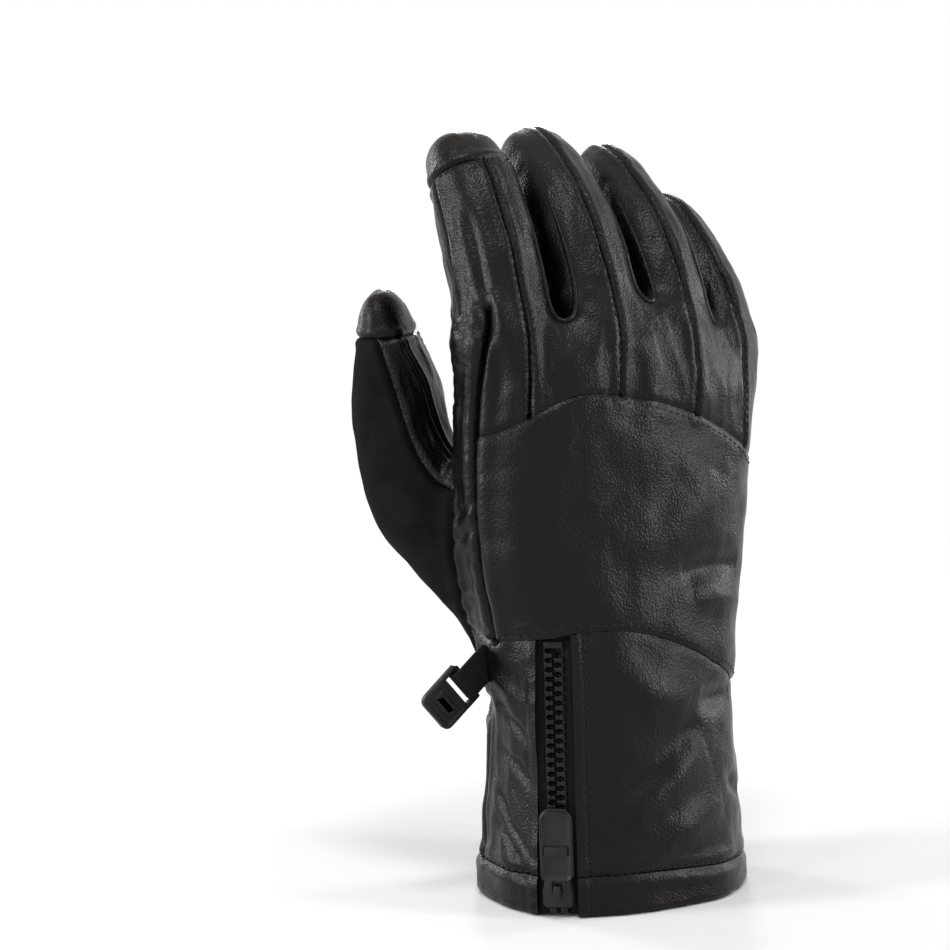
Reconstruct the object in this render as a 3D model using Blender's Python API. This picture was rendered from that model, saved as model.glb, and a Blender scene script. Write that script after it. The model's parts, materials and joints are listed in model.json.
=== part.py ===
"""Right-hand leather ski glove, standing on its cuff with the fingers up.

+Z runs from the cuff to the fingertips, -Y is the back of the hand and -X the thumb side.
All sizes are in metres. The outer skin is one control cage, smoothed by subdivision; every
leather panel is a patch of that skin given a thickness inwards, so neighbours share their seams.
"""

import math

import bmesh
import bpy
from mathutils import Vector
from mathutils.bvhtree import BVHTree

# Hand sections from the hem up: height, half width, depth to the back, depth to the palm,
# sideways shift and shift towards the palm.
SECTIONS = (
    (0.000, 0.0455, 0.0340, 0.0340, 0.0000, 0.0000),
    (0.062, 0.0420, 0.0310, 0.0255, -0.0020, 0.0005),
    (0.085, 0.0445, 0.0290, 0.0270, -0.0030, 0.0020),
    (0.120, 0.0515, 0.0270, 0.0265, -0.0045, 0.0045),
    (0.150, 0.0535, 0.0250, 0.0240, -0.0025, 0.0050),
    (0.180, 0.0540, 0.0215, 0.0205, -0.0005, 0.0045),
    (0.200, 0.0535, 0.0190, 0.0180, 0.0010, 0.0040),
)
CUFF_ROUNDNESS = 2.1
HAND_ROUNDNESS = 2.6
HAND_STARTS = 0.060
HAND_WIDENED = 0.150
THUMB_EDGE_TURN = 0.35
PALM_EDGE_TURN = 0.52
LITTLE_EDGE_TURN = 0.0

# Where the nine columns lie across the cuff and across the knuckles, as shares of the half width.
CUFF_SHARES = (-0.985, -0.875, -0.63, -0.35, -0.03, 0.28, 0.56, 0.79, 0.95)
KNUCKLE_SHARES = (-0.99, -0.70, -0.45, -0.16, 0.13, 0.37, 0.61, 0.80, 0.95)

# Ring heights on the palm from the hem to the top of the thumb's base, then shares of the way on
# to the fingers, and the overlay's two edges across the back.
PALM_HEIGHTS = (0.0, 0.011, 0.028, 0.045, 0.060, 0.065, 0.084, 0.114, 0.143)
PALM_RINGS = (0.36, 0.66, 0.86)
OVERLAY_BOTTOM = (0.085, 0.0875, 0.089, 0.090, 0.087, 0.081, 0.074, 0.068, 0.061)
OVERLAY_TOP = (0.146, 0.157, 0.165, 0.162, 0.158, 0.153, 0.147, 0.140, 0.131)
OVERLAY_RINGS = (0.0, 0.30, 0.58, 0.82, 1.0)

# Fingers from the index out. Webs are the slit bottoms on the back and on the palm, from the
# thumb side of the index to the outside of the little finger.
FINGER_NAMES = ("index", "middle", "ring", "little")
FINGER_EDGES = (-0.0535, -0.0225, 0.0075, 0.0335, 0.0550)
FINGER_GAP = 0.0016
WEB_BACK = (0.180, 0.184, 0.189, 0.179, 0.166)
WEB_PALM = (0.175, 0.179, 0.182, 0.175, 0.164)
WEB_RISE = 0.002
WEB_SINK = 0.003
FINGER_LENGTHS = (0.071, 0.071, 0.069, 0.061)
FINGER_THICKNESS = (0.0290, 0.0300, 0.0290, 0.0270)
FINGER_BASE_LEAN = (10.0, 15.0, 20.0, 24.0)
FINGER_TIP_LEAN = (50.0, 70.0, 76.0, 78.0)
FINGER_BASE_DEPTH = (0.005, 0.003, 0.005, 0.010)
FINGER_RINGS = (0.10, 0.30, 0.53, 0.75, 0.92)
FINGER_WIDTH_TAPER = (1.0, 1.0, 0.98, 0.92, 0.72)
FINGER_THICKNESS_TAPER = (0.96, 0.90, 0.84, 0.76, 0.58)

# Thumb: place of each ring's middle, lean out from upright, half width, half thickness and twist.
# It leaves the palm through a block of the skin, goes out and turns up.
THUMB_PATH = (
    ((-0.0510, 0.0330, 0.1230), 52.0, 0.0180, 0.0190, 0.0),
    ((-0.0550, 0.0400, 0.1410), 25.0, 0.0160, 0.0150, 8.0),
    ((-0.0562, 0.0422, 0.1630), 8.0, 0.0150, 0.0132, 22.0),
    ((-0.0582, 0.0432, 0.1770), 2.0, 0.0128, 0.0078, 36.0),
    ((-0.0600, 0.0440, 0.1880), 4.0, 0.0088, 0.0046, 40.0),
)
THUMB_TIP = (-0.0606, 0.0442, 0.1930)
THUMB_BEARING = 125.0

# Depths of the layers below the skin, outer face first, and the gap kept at a seam.
SEAM_GAP = 0.0003
SHARPEST_CORNER = 0.4
LEATHER_DEPTHS = (0.0, 0.0012)
OVERLAY_DEPTHS = (-0.0008, 0.0012)
HEM_DEPTHS = (-0.0005, 0.0020)
INSULATION_DEPTHS = (0.0023, 0.0042)
LINING_DEPTHS = (0.0050, 0.0062)
DIGIT_INSULATION_DEPTHS = (0.0017, 0.0025)
DIGIT_LINING_DEPTHS = (0.0028, 0.0036)

# Zip, measured across, up and out from the middle of its opening at the hem.
ZIP_TAPE_DEPTHS = (0.0003, 0.0009)
TEETH_HALF_WIDTH = 0.0030
TEETH_BEAD_WIDTH = 0.0013
TEETH_CHANNEL = 0.0010
TEETH_PITCH = 0.0030
TEETH_TOP = 0.0006
TEETH_BOTTOM = -0.0018
ZIP_STOP_LENGTH = 0.0022
ZIP_TAPE_START = 0.0008
ZIP_END_MARGIN = 0.0014
SLIDER_START = 0.0032
SLIDER_LENGTH = 0.0105
SLIDER_HALF_WIDTH = 0.0046
SLIDER_PLATE = 0.0012
SLIDER_FLANGE = 0.0011
SLIDER_FLOOR = 0.0030
BRIDGE_HALF_WIDTH = 0.0011
BRIDGE_RISE = 0.0012
PULL_PIN_RADIUS = 0.0006
PULL_PIN_INSET = 0.0001
PULL_WIDTH = 0.0097
PULL_LENGTH = 0.0226
PULL_THICKNESS = 0.0024
PULL_ARM = 0.0010
PULL_OVERLAP = 0.0012
PULL_CORNER = 0.0018
PULL_ROUND = 0.0034
PULL_RIM = 0.0014
PULL_SINK = 0.0007
PULL_TILT = 6.0
GUSSET_THICKNESS = 0.0006
GUSSET_START = 0.0135
GUSSET_MARGIN = 0.0014
GUSSET_WALL = 0.0012
GUSSET_FALL = 0.55
GUSSET_SLACK = 0.0006

# Wrist strap and its buckle on the thumb edge.
STRAP_HEIGHT = 0.0765
STRAP_DEPTH = 0.0070
STRAP_WIDTH = 0.0105
STRAP_THICKNESS = 0.0013
STRAP_LENGTH = 0.0085
STRAP_FALL = 41.0
STRAP_ROOT_GAP = 0.0006
STRAP_END_SHARE = 0.66
STRAP_WRAP = 240
BUCKLE_BAR_RADIUS = 0.0009
BUCKLE_LENGTH = 0.0150
BUCKLE_RAIL = 0.0016
BUCKLE_THICKNESS = 0.0022
BUCKLE_SLOT_SPARE = 0.0012
RUNNING_GAP = 0.0004

# The skin's columns run 0-8 across the back from the thumb side, then the little-finger edge,
# 10-18 back across the palm, and the thumb edge.
BACK_COLUMNS = 9
LITTLE_EDGE = 9
THUMB_EDGE = 19
RING_COLUMNS = 20
CUFF_RINGS = 6
ELASTIC_ROW = 4
OVERLAY_TOP_RING = CUFF_RINGS + len(OVERLAY_RINGS) - 1
HAND_RINGS = len(PALM_HEIGHTS) + len(PALM_RINGS)
ZIP_COLUMN = 1
SUEDE_COLUMN = 16
THUMB_ROWS = (6, 8)
THUMB_COLUMNS = (17, 19)
SKIN_LEVELS = 1
SHADING_ANGLE = 40.0

# Subdivision draws an octagon in by this much, so digit cages are swelled to end at their size.
OCTAGON_SWELL = 1.108
OCTAGON_CORNER = 0.76

PANELS = (
    "hem_band", "cuff_thumb_panel", "cuff_back_panel", "cuff_palm_panel", "wrist_elastic_casing",
    "back_overlay", "thumb_side_panel", "palm_panel", "palm_suede_patch", "zip_opening",
    "knuckle_strip_1", "knuckle_strip_2", "knuckle_strip_3", "knuckle_strip_4", "knuckle_strip_5",
    "index_back_left", "index_back_right", "index_palm", "index_tip_cap",
    "middle_back_left", "middle_back_right", "middle_palm",
    "ring_back_left", "ring_back_right", "ring_palm",
    "little_back_left", "little_back_right", "little_palm",
    "thumb_leather", "thumb_suede", "thumb_tip_cap",
)

SUEDE_PANELS = ("palm_suede_patch", "thumb_suede")
PANEL_DEPTHS = {"back_overlay": OVERLAY_DEPTHS, "hem_band": HEM_DEPTHS}

# Finishes: base colour, roughness and metallic value
FINISHES = {
    "leather": ((0.013, 0.012, 0.012), 0.45, 0.0),
    "smooth leather": ((0.010, 0.010, 0.010), 0.50, 0.0),
    "suede": ((0.006, 0.006, 0.006), 0.95, 0.0),
    "padding": ((0.25, 0.25, 0.24), 0.95, 0.0),
    "fleece": ((0.030, 0.030, 0.032), 0.95, 0.0),
    "woven tape": ((0.012, 0.012, 0.012), 0.85, 0.0),
    "moulded plastic": ((0.014, 0.014, 0.015), 0.40, 0.0),
    "painted metal": ((0.012, 0.012, 0.013), 0.35, 1.0),
}


def lerp(a, b, t):
    return a + (b - a) * t


def ease(t):
    t = min(max(t, 0.0), 1.0)
    return t * t * (3 - 2 * t)


# The hand's cage

def section(z):
    """The section's five sizes at height z, eased between the stations above."""
    for low, high in zip(SECTIONS, SECTIONS[1:]):
        if z <= high[0]:
            t = ease((z - low[0]) / (high[0] - low[0]))
            return [lerp(a, b, t) for a, b in zip(low[1:], high[1:])]
    return list(SECTIONS[-1][1:])


def web_height(webs, column):
    """Height of the finger bases on a column: webs at even columns, finger middles between."""
    if column % 2 == 0:
        return webs[column // 2]
    return (webs[column // 2] + webs[column // 2 + 1]) / 2 + WEB_RISE


def back_height(ring, column):
    """Height of a ring of the hand where it crosses a column of the back."""
    if ring < CUFF_RINGS:
        return PALM_HEIGHTS[ring] * OVERLAY_BOTTOM[column] / PALM_HEIGHTS[CUFF_RINGS]
    if ring <= OVERLAY_TOP_RING:
        share = OVERLAY_RINGS[ring - CUFF_RINGS]
        return lerp(OVERLAY_BOTTOM[column], OVERLAY_TOP[column], share)
    return (OVERLAY_TOP[column] + web_height(WEB_BACK, column)) / 2


def palm_height(ring, column):
    """Height of a ring of the hand where it crosses a column of the palm."""
    if ring < len(PALM_HEIGHTS):
        return PALM_HEIGHTS[ring]
    share = PALM_RINGS[ring - len(PALM_HEIGHTS)]
    return lerp(PALM_HEIGHTS[-1], web_height(WEB_PALM, column), share)


def hand_point(column, height, palm):
    """A point of the hand's cage on a back column, or on the palm column behind it."""
    half_width, back_depth, palm_depth, shift_x, shift_y = section(height)
    t = ease((height - HAND_STARTS) / (HAND_WIDENED - HAND_STARTS))
    share = lerp(CUFF_SHARES[column], KNUCKLE_SHARES[column], t)
    roundness = lerp(CUFF_ROUNDNESS, HAND_ROUNDNESS, t)
    reach = (1 - abs(share) ** roundness) ** (1 / roundness)
    y = palm_depth * reach if palm else -back_depth * reach
    return Vector((shift_x + half_width * share, shift_y + y, height))


def edge_point(side, turn, height):
    """A point on the side of the hand, turned towards the palm by a share of the palm's depth."""
    half_width, _, palm_depth, shift_x, shift_y = section(height)
    x = side * half_width * (1 - turn ** CUFF_ROUNDNESS) ** (1 / CUFF_ROUNDNESS)
    return Vector((shift_x + x, shift_y + turn * palm_depth, height))


def hand_ring(ring):
    """One ring of the hand below the fingers: back, little edge, palm, thumb edge."""
    backs = [hand_point(c, back_height(ring, c), False) for c in range(BACK_COLUMNS)]
    palms = [hand_point(c, palm_height(ring, c), True) for c in reversed(range(BACK_COLUMNS))]
    little = edge_point(1, LITTLE_EDGE_TURN, (backs[-1].z + palms[0].z) / 2)
    thumb = edge_point(-1, THUMB_EDGE_TURN, (backs[0].z + palms[-1].z) / 2)
    palms[-1] = edge_point(-1, PALM_EDGE_TURN, palms[-1].z)
    return backs + [little] + palms + [thumb]


def base_point(column, palm):
    """A point where the fingers leave the hand, on a back column or the palm column behind it."""
    numbers = [n for n in ((column - 1) // 2, column // 2) if 0 <= n < len(FINGER_NAMES)]
    depth = sum(FINGER_BASE_DEPTH[n] for n in numbers) / len(numbers)
    half = sum(FINGER_THICKNESS[n] for n in numbers) / len(numbers) / 2 * OCTAGON_SWELL
    webs = WEB_PALM if palm else WEB_BACK
    if column % 2:
        x = (FINGER_EDGES[column // 2] + FINGER_EDGES[column // 2 + 1]) / 2
    else:
        x = FINGER_EDGES[column // 2]
        half *= OCTAGON_CORNER
    return Vector((x, depth + half if palm else depth - half, web_height(webs, column)))


def base_ring():
    """The hand's last ring, where the fingers start."""
    backs = [base_point(c, False) for c in range(BACK_COLUMNS)]
    palms = [base_point(c, True) for c in reversed(range(BACK_COLUMNS))]
    swell = (OCTAGON_SWELL - OCTAGON_CORNER) * (FINGER_EDGES[1] - FINGER_EDGES[0]) / 4
    little = (backs[-1] + palms[0]) / 2 + Vector((swell, 0, 0))
    thumb = (backs[0] + palms[-1]) / 2 - Vector((swell, 0, 0))
    return backs + [little] + palms + [thumb]


# The digits' cages

def swelled(share):
    """A sine or cosine drawn out so that an octagon's corners reach OCTAGON_CORNER."""
    power = math.log(OCTAGON_CORNER) / math.log(math.sqrt(0.5))
    return math.copysign(abs(share) ** power, share)


def octagon(middle, across, outward, twist=0.0):
    """Eight cage points round a digit, from the first corner of its outer side, turned by a twist."""
    points = []
    for number in range(8):
        angle = math.radians(135 - 45 * number + twist)
        turned = across * swelled(math.cos(angle)) + outward * swelled(math.sin(angle))
        points.append(middle + turned * OCTAGON_SWELL)
    return points


def finger_axis(number, share):
    """Middle of a finger at a share of its length, and its lean there."""
    steps = 24
    base = [webs[n] for webs in (WEB_BACK, WEB_PALM) for n in (number, number + 1)]
    middle_x = (FINGER_EDGES[number] + FINGER_EDGES[number + 1]) / 2
    middle = Vector((middle_x, FINGER_BASE_DEPTH[number], sum(base) / len(base)))
    step = FINGER_LENGTHS[number] * share / steps
    for i in range(steps + 1):
        t = min((i + 0.5) / steps, 1.0) * share
        lean = math.radians(lerp(FINGER_BASE_LEAN[number], FINGER_TIP_LEAN[number], t))
        if i < steps:
            middle += Vector((0, math.sin(lean), math.cos(lean))) * step
    return middle, lean


def finger_rings(number):
    half_width = (FINGER_EDGES[number + 1] - FINGER_EDGES[number] - FINGER_GAP) / 2
    half_thickness = FINGER_THICKNESS[number] / 2
    rings = []
    for share, width, thickness in zip(FINGER_RINGS, FINGER_WIDTH_TAPER, FINGER_THICKNESS_TAPER):
        middle, lean = finger_axis(number, share)
        across = Vector((half_width * width, 0, 0))
        outward = Vector((0, -math.cos(lean), math.sin(lean))) * half_thickness * thickness
        rings.append(octagon(middle, across, outward))
    return rings


def thumb_rings():
    bearing = math.radians(THUMB_BEARING)
    out = Vector((math.cos(bearing), math.sin(bearing), 0))
    up = Vector((0, 0, 1))
    side = up.cross(out)
    rings = []
    for place, lean, half_width, half_thickness, twist in THUMB_PATH:
        lean = math.radians(lean)
        away = out * math.cos(lean) - up * math.sin(lean)
        rings.append(octagon(Vector(place), side * half_width, away * half_thickness, twist))
    return rings


# Panels of the skin

def panel_of_hand(row, column):
    """Panel of one face of the hand's cage, by its row and its first column."""
    on_back = column < LITTLE_EDGE
    if column == ZIP_COLUMN and row < CUFF_RINGS:
        return "zip_opening"
    if row == 0:
        return "hem_band"
    if row < CUFF_RINGS and column in (0, THUMB_EDGE):
        return "cuff_thumb_panel"
    if row < CUFF_RINGS and on_back:
        return "cuff_back_panel"
    if row < ELASTIC_ROW:
        return "cuff_palm_panel"
    if row == ELASTIC_ROW:
        return "wrist_elastic_casing"
    if on_back and row < OVERLAY_TOP_RING:
        return "back_overlay"
    if on_back:
        return "knuckle_strip_%d" % ((column + 1) // 2 + 1)
    if column == THUMB_EDGE or (column == THUMB_EDGE - 1 and row >= THUMB_ROWS[1]):
        return "thumb_side_panel"
    if column >= SUEDE_COLUMN and row < THUMB_ROWS[1]:
        return "palm_suede_patch"
    return "palm_panel"


def panel_of_finger_base(number, column):
    """Panel of one face of a finger's first row, which belongs to the hand and holds the webs."""
    if number == 0 and column in (6, 7):
        return "thumb_side_panel"
    if column in (0, 7):
        return "knuckle_strip_%d" % (number + 1)
    if column in (1, 2):
        return "knuckle_strip_%d" % (number + 2)
    return "palm_panel"


def panel_of_finger(number, row, column):
    """Panel of one face of a finger; the last rows wrap over the tip."""
    name = FINGER_NAMES[number]
    tip = row >= len(FINGER_RINGS) - 1
    if row == 0:
        return panel_of_finger_base(number, column)
    if tip and name == "index":
        return "index_tip_cap"
    if column in (0, 7) or (tip and column in (5, 6)):
        return name + "_back_left"
    if column in (1, 2) or tip:
        return name + "_back_right"
    return name + "_palm"


def panel_of_thumb(row, column):
    if row >= len(THUMB_PATH) - 1:
        return "thumb_tip_cap"
    return "thumb_leather" if column in (4, 5, 6) else "thumb_suede"


class Cage:
    """Control points and four-sided faces of the whole skin, each with its panel, body and place."""

    def __init__(self):
        self.points = []
        self.faces = []
        self.panels = []
        self.bodies = []
        self.places = []
        self.rings = []
        self.finger_bases = []

    def add(self, points):
        first = len(self.points)
        self.points.extend(points)
        return list(range(first, len(self.points)))

    def face(self, corners, panel, body, place):
        self.faces.append(corners)
        self.panels.append(PANELS.index(panel))
        self.bodies.append(body)
        self.places.append(place)

    def tube(self, base, rings, tip, bodies, panel_at):
        """Rings of eight from a base ring to a tip closed by four faces; the first row has its own body."""
        loops = [base] + [self.add(ring) for ring in rings]
        body = bodies[1]
        for row, (low, high) in enumerate(zip(loops, loops[1:])):
            for i in range(8):
                j = (i + 1) % 8
                corners = (low[i], low[j], high[j], high[i])
                self.face(corners, panel_at(row, i), bodies[min(row, 1)], (row, i))
        last = loops[-1]
        centre = self.add([tip])[0]
        for i in (1, 3, 5, 7):
            corners = (last[i], last[i + 1 - 8], last[i + 2 - 8], centre)
            self.face(corners, panel_at(len(rings), i), body, (len(rings), i))
        return loops


def straighten_zip(cage):
    """Draw the two columns beside the zip straight from the hem to the overlay."""
    for column in (ZIP_COLUMN, ZIP_COLUMN + 1):
        low = cage.points[cage.rings[0][column]].copy()
        high = cage.points[cage.rings[CUFF_RINGS][column]].copy()
        for ring in range(1, CUFF_RINGS):
            index = cage.rings[ring][column]
            cage.points[index] = low.lerp(high, cage.points[index].z / high.z)


def zip_edges(cage):
    """The cage edges beside the zip, which stay sharp when the skin is smoothed."""
    for column in (ZIP_COLUMN, ZIP_COLUMN + 1):
        for ring in range(CUFF_RINGS):
            yield cage.rings[ring][column], cage.rings[ring + 1][column]


def build_cage():
    cage = Cage()
    cage.rings = [cage.add(hand_ring(ring)) for ring in range(HAND_RINGS)]
    cage.rings.append(cage.add(base_ring()))
    straighten_zip(cage)
    for row, (low, high) in enumerate(zip(cage.rings, cage.rings[1:])):
        for i in range(RING_COLUMNS):
            if row in range(*THUMB_ROWS) and i in range(*THUMB_COLUMNS):
                continue
            j = (i + 1) % RING_COLUMNS
            cage.face((low[i], low[j], high[j], high[i]), panel_of_hand(row, i), "hand", (row, i))
    add_fingers(cage)
    add_thumb(cage)
    return cage


def add_fingers(cage):
    top = cage.rings[-1]
    last = 2 * LITTLE_EDGE
    webs = []
    for n in range(1, len(FINGER_NAMES)):
        middle = (cage.points[top[2 * n]] + cage.points[top[last - 2 * n]]) / 2
        webs.append(cage.add([middle - Vector((0, 0, WEB_SINK))])[0])
    sides = [top[THUMB_EDGE]] + webs + [top[LITTLE_EDGE]]
    for n, name in enumerate(FINGER_NAMES):
        back = top[2 * n:2 * n + 3]
        palm = top[last - 2 * n - 2:last - 2 * n + 1]
        base = back + [sides[n + 1]] + palm + [sides[n]]
        tip = finger_axis(n, 1.0)[0]
        loops = cage.tube(base, finger_rings(n), tip, ("hand", name),
                          lambda row, column, n=n: panel_of_finger(n, row, column))
        cage.finger_bases.append(loops[1])


def add_thumb(cage):
    low, middle, high = (cage.rings[r] for r in range(THUMB_ROWS[0], THUMB_ROWS[1] + 1))
    first, last = THUMB_COLUMNS
    base = low[first:last + 1] + [middle[last]] + high[first:last + 1][::-1] + [middle[first]]
    cage.tube(base, thumb_rings(), Vector(THUMB_TIP), ("thumb", "thumb"), panel_of_thumb)


# The smoothed skin and the solids cut from it

class Skin:
    """The subdivided cage: limit points, outward normals and faces with their panel."""

    def __init__(self, cage, levels):
        mesh = bpy.data.meshes.new("skin")
        mesh.from_pydata(cage.points, [], cage.faces)
        mesh.polygons.foreach_set("material_index", cage.panels)
        sharp = {frozenset(pair) for pair in zip_edges(cage)}
        crease = mesh.attributes.new("crease_edge", "FLOAT", "EDGE")
        for edge in mesh.edges:
            crease.data[edge.index].value = 1.0 if frozenset(edge.vertices) in sharp else 0.0
        skin = bpy.data.objects.new("skin", mesh)
        bpy.context.scene.collection.objects.link(skin)
        smoothing = skin.modifiers.new("smoothing", "SUBSURF")
        smoothing.levels = smoothing.render_levels = levels
        graph = bpy.context.evaluated_depsgraph_get()
        smooth = skin.evaluated_get(graph).to_mesh()
        self.points = [vertex.co.copy() for vertex in smooth.vertices]
        self.faces = [tuple(face.vertices) for face in smooth.polygons]
        self.panels = [face.material_index for face in smooth.polygons]
        bpy.data.objects.remove(skin)
        self.normals = self.vertex_normals()
        self.edges = boundary_edges(self.faces)

    def vertex_normals(self):
        """Outward normals; level at the hem, so that every layer ends flat there."""
        normals = [Vector() for _ in self.points]
        for face in self.faces:
            a, b, c, d = (self.points[i] for i in face)
            normal = (c - a).cross(d - b)
            for i in face:
                normals[i] += normal
        for point, normal in zip(self.points, normals):
            if point.z < SEAM_GAP:
                normal.z = 0
            normal.normalize()
        return normals

    def cage_sinks(self, cage):
        """How far each of the cage's own points sinks for flat cage faces to lie under the skin."""
        count = len(cage.points)
        diagonals = {frozenset(face): (face[0], face[2]) for face in cage.faces}
        spans = {}
        for face in self.faces:
            corner = next(i for i in face if i < count)
            for i in face:
                if i >= count:
                    spans.setdefault(i, set()).add(corner)
        sinks = [0.0] * count
        for i, corners in spans.items():
            ends = diagonals.get(frozenset(corners), tuple(corners))
            middle = sum((self.points[end] for end in ends), Vector()) / len(ends)
            proud = (middle - self.points[i]).dot(self.normals[i])
            for corner in corners:
                sinks[corner] = max(sinks[corner], proud)
        return sinks

    def faces_above_base(self, cage, body):
        """A digit's faces beyond its first row, each cage face being cut in four."""
        owners = [(owner, row) for owner, (row, _) in zip(cage.bodies, cage.places)]
        return [face for number, face in enumerate(self.faces)
                if owners[number // 4][0] == body and owners[number // 4][1] > 0]

    def panel_faces(self, name):
        number = PANELS.index(name)
        return [face for face, panel in zip(self.faces, self.panels) if panel == number]


def boundary_edges(faces):
    """Directed edges that only one face of a patch uses."""
    edges = {(face[i - 1], face[i]) for face in faces for i in range(len(face))}
    return {edge for edge in edges if edge[::-1] not in edges}


def seam_offsets(skin, edges):
    """How far each point on a patch's seams moves in along the skin to leave half the seam gap."""
    inward = {}
    for a, b in edges - skin.edges:
        along = skin.points[b] - skin.points[a]
        across = (skin.normals[a] + skin.normals[b]).cross(along).normalized()
        for i in (a, b):
            inward.setdefault(i, []).append(across)
    offsets = {}
    for i, directions in inward.items():
        mean = sum(directions, Vector()).normalized()
        sharpest = min(mean.dot(direction) for direction in directions)
        offsets[i] = mean * (SEAM_GAP / 2 / max(sharpest, SHARPEST_CORNER))
    return offsets


def patch_solid(name, skin, faces, depths, finish, body, sinks=None):
    """A patch of the skin made solid between two depths below it, sunk further where told."""
    edges = boundary_edges(faces)
    offsets = seam_offsets(skin, edges)
    shape = bmesh.new()
    layers = []
    for depth in depths:
        layer = {}
        for i in sorted({i for face in faces for i in face}):
            sink = depth + (sinks[i] if sinks else 0)
            layer[i] = shape.verts.new(skin.points[i] + offsets.get(i, Vector()) - skin.normals[i] * sink)
        layers.append(layer)
    outer, inner = layers
    for face in faces:
        shape.faces.new([outer[i] for i in face])
        shape.faces.new([inner[i] for i in reversed(face)])
    for a, b in sorted(edges):
        wall = [outer[b], outer[a], inner[a], inner[b]]
        if a < b:
            wall = wall[1:] + wall[:1]
        shape.faces.new(wall[:3])
        shape.faces.new((wall[0], wall[2], wall[3]))
    return add_object(name, shape, finish, body)


def add_object(name, shape, finish, body):
    """Make a node from a bmesh in the glove's frame and hang it on its body's empty."""
    bmesh.ops.translate(shape, verts=shape.verts, vec=-body.location)
    mesh = bpy.data.meshes.new(name)
    shape.to_mesh(mesh)
    shape.free()
    mesh.shade_smooth()
    mesh.set_sharp_from_angle(angle=math.radians(SHADING_ANGLE))
    mesh.materials.append(material(name, finish))
    item = bpy.data.objects.new(name, mesh)
    item.parent = body
    bpy.context.scene.collection.objects.link(item)
    return item


def add_empty(name, place, parent=None):
    empty = bpy.data.objects.new(name, None)
    empty.location = place
    empty.parent = parent
    bpy.context.scene.collection.objects.link(empty)
    return empty


def material(name, finish):
    colour, roughness, metallic = FINISHES[finish]
    result = bpy.data.materials.new(name + "_" + finish.replace(" ", "_"))
    result.use_nodes = True
    shader = result.node_tree.nodes["Principled BSDF"]
    shader.inputs["Base Color"].default_value = (*colour, 1)
    shader.inputs["Roughness"].default_value = roughness
    shader.inputs["Metallic"].default_value = metallic
    return result


# The leather shell and the layers inside it

def add_shell(cage, skin, bodies):
    owner = dict(zip(cage.panels, cage.bodies))
    for number, name in enumerate(PANELS):
        if name == "zip_opening":
            continue
        finish = "suede" if name in SUEDE_PANELS else "leather"
        if name.endswith("_palm"):
            finish = "smooth leather"
        depths = PANEL_DEPTHS.get(name, LEATHER_DEPTHS)
        patch_solid(name, skin, skin.panel_faces(name), depths, finish, bodies[owner[number]])


def triangles(faces):
    return [half for face in faces for half in (face[:3], (face[0], face[2], face[3]))]


def add_layers(cage, skin, bodies):
    """Insulation and fleece lining: the hand's on the cage's flat faces, the digits' on the skin."""
    padded_columns = range(ZIP_COLUMN + 2, THUMB_EDGE)
    padding, lining = [], []
    for face, body, (row, column) in zip(cage.faces, cage.bodies, cage.places):
        if body != "hand" or row == 0:
            continue
        lining.append(face)
        if row >= CUFF_RINGS or column in padded_columns:
            padding.append(face)
    sinks = skin.cage_sinks(cage)
    add_layer("hand_insulation", skin, padding, INSULATION_DEPTHS, "padding", bodies["hand"], sinks)
    add_layer("hand_lining", skin, lining, LINING_DEPTHS, "fleece", bodies["hand"], sinks)
    for body in FINGER_NAMES + ("thumb",):
        faces = skin.faces_above_base(cage, body)
        add_layer(body + "_insulation", skin, faces, DIGIT_INSULATION_DEPTHS, "padding", bodies[body])
        add_layer(body + "_lining", skin, faces, DIGIT_LINING_DEPTHS, "fleece", bodies[body])


def add_layer(name, skin, faces, depths, finish, body, sinks=None):
    patch_solid(name, skin, triangles(faces), depths, finish, body, sinks)


# Zip

class ZipFrame:
    """Across, up and out from the middle of the zip opening at the hem."""

    def __init__(self, cage, skin):
        corners = [skin.points[cage.rings[ring][column]]
                   for ring in (0, CUFF_RINGS) for column in (ZIP_COLUMN, ZIP_COLUMN + 1)]
        low_left, low_right, high_left, high_right = corners
        self.origin = (low_left + low_right) / 2
        rise = (high_left + high_right) / 2 - self.origin
        self.height = rise.length
        self.up = rise.normalized()
        across = (low_right - low_left).normalized() + (high_right - high_left).normalized()
        self.across = (across - self.up * across.dot(self.up)).normalized()
        self.out = self.across.cross(self.up)
        self.low_half = (low_right - low_left).length / 2
        self.high_half = (high_right - high_left).length / 2

    def point(self, across, up, out):
        return self.origin + self.across * across + self.up * up + self.out * out

    def half_width(self, up):
        return lerp(self.low_half, self.high_half, up / self.height)

    def chain_end(self):
        """Top of the chain, just under the overlay's edge."""
        return self.height - ZIP_END_MARGIN

    def slide_travel(self):
        return self.chain_end() - ZIP_STOP_LENGTH - SLIDER_START - SLIDER_LENGTH - 2 * SEAM_GAP

    def pin(self):
        """Middle of the pull's pin, under the slider's bridge."""
        out = TEETH_TOP + RUNNING_GAP + SLIDER_PLATE + RUNNING_GAP + PULL_PIN_RADIUS
        return self.point(0, SLIDER_START + SLIDER_LENGTH / 2, out)


def block(shape, place, across, up, out):
    """A six-sided solid between two values along each direction of a frame."""
    corners = [shape.verts.new(place(a, u, o)) for o in out for u in up for a in across]
    for face in ((0, 2, 3, 1), (4, 5, 7, 6), (0, 1, 5, 4), (2, 6, 7, 3), (0, 4, 6, 2), (1, 3, 7, 5)):
        shape.faces.new([corners[i] for i in face])


def prism(shape, place, outline, out):
    """An outline in the across-up plane, counterclockwise seen from outside, given a thickness."""
    low, high = ([shape.verts.new(place(a, u, o)) for a, u in outline] for o in out)
    shape.faces.new(low[::-1])
    top = shape.faces.new(high)
    for i in range(len(outline)):
        shape.faces.new((low[i - 1], low[i], high[i], high[i - 1]))
    return top


def upright(across, up, out):
    """The place of a point in a frame of its own, for solids that are fused before they are placed."""
    return Vector((across, up, out))


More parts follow.
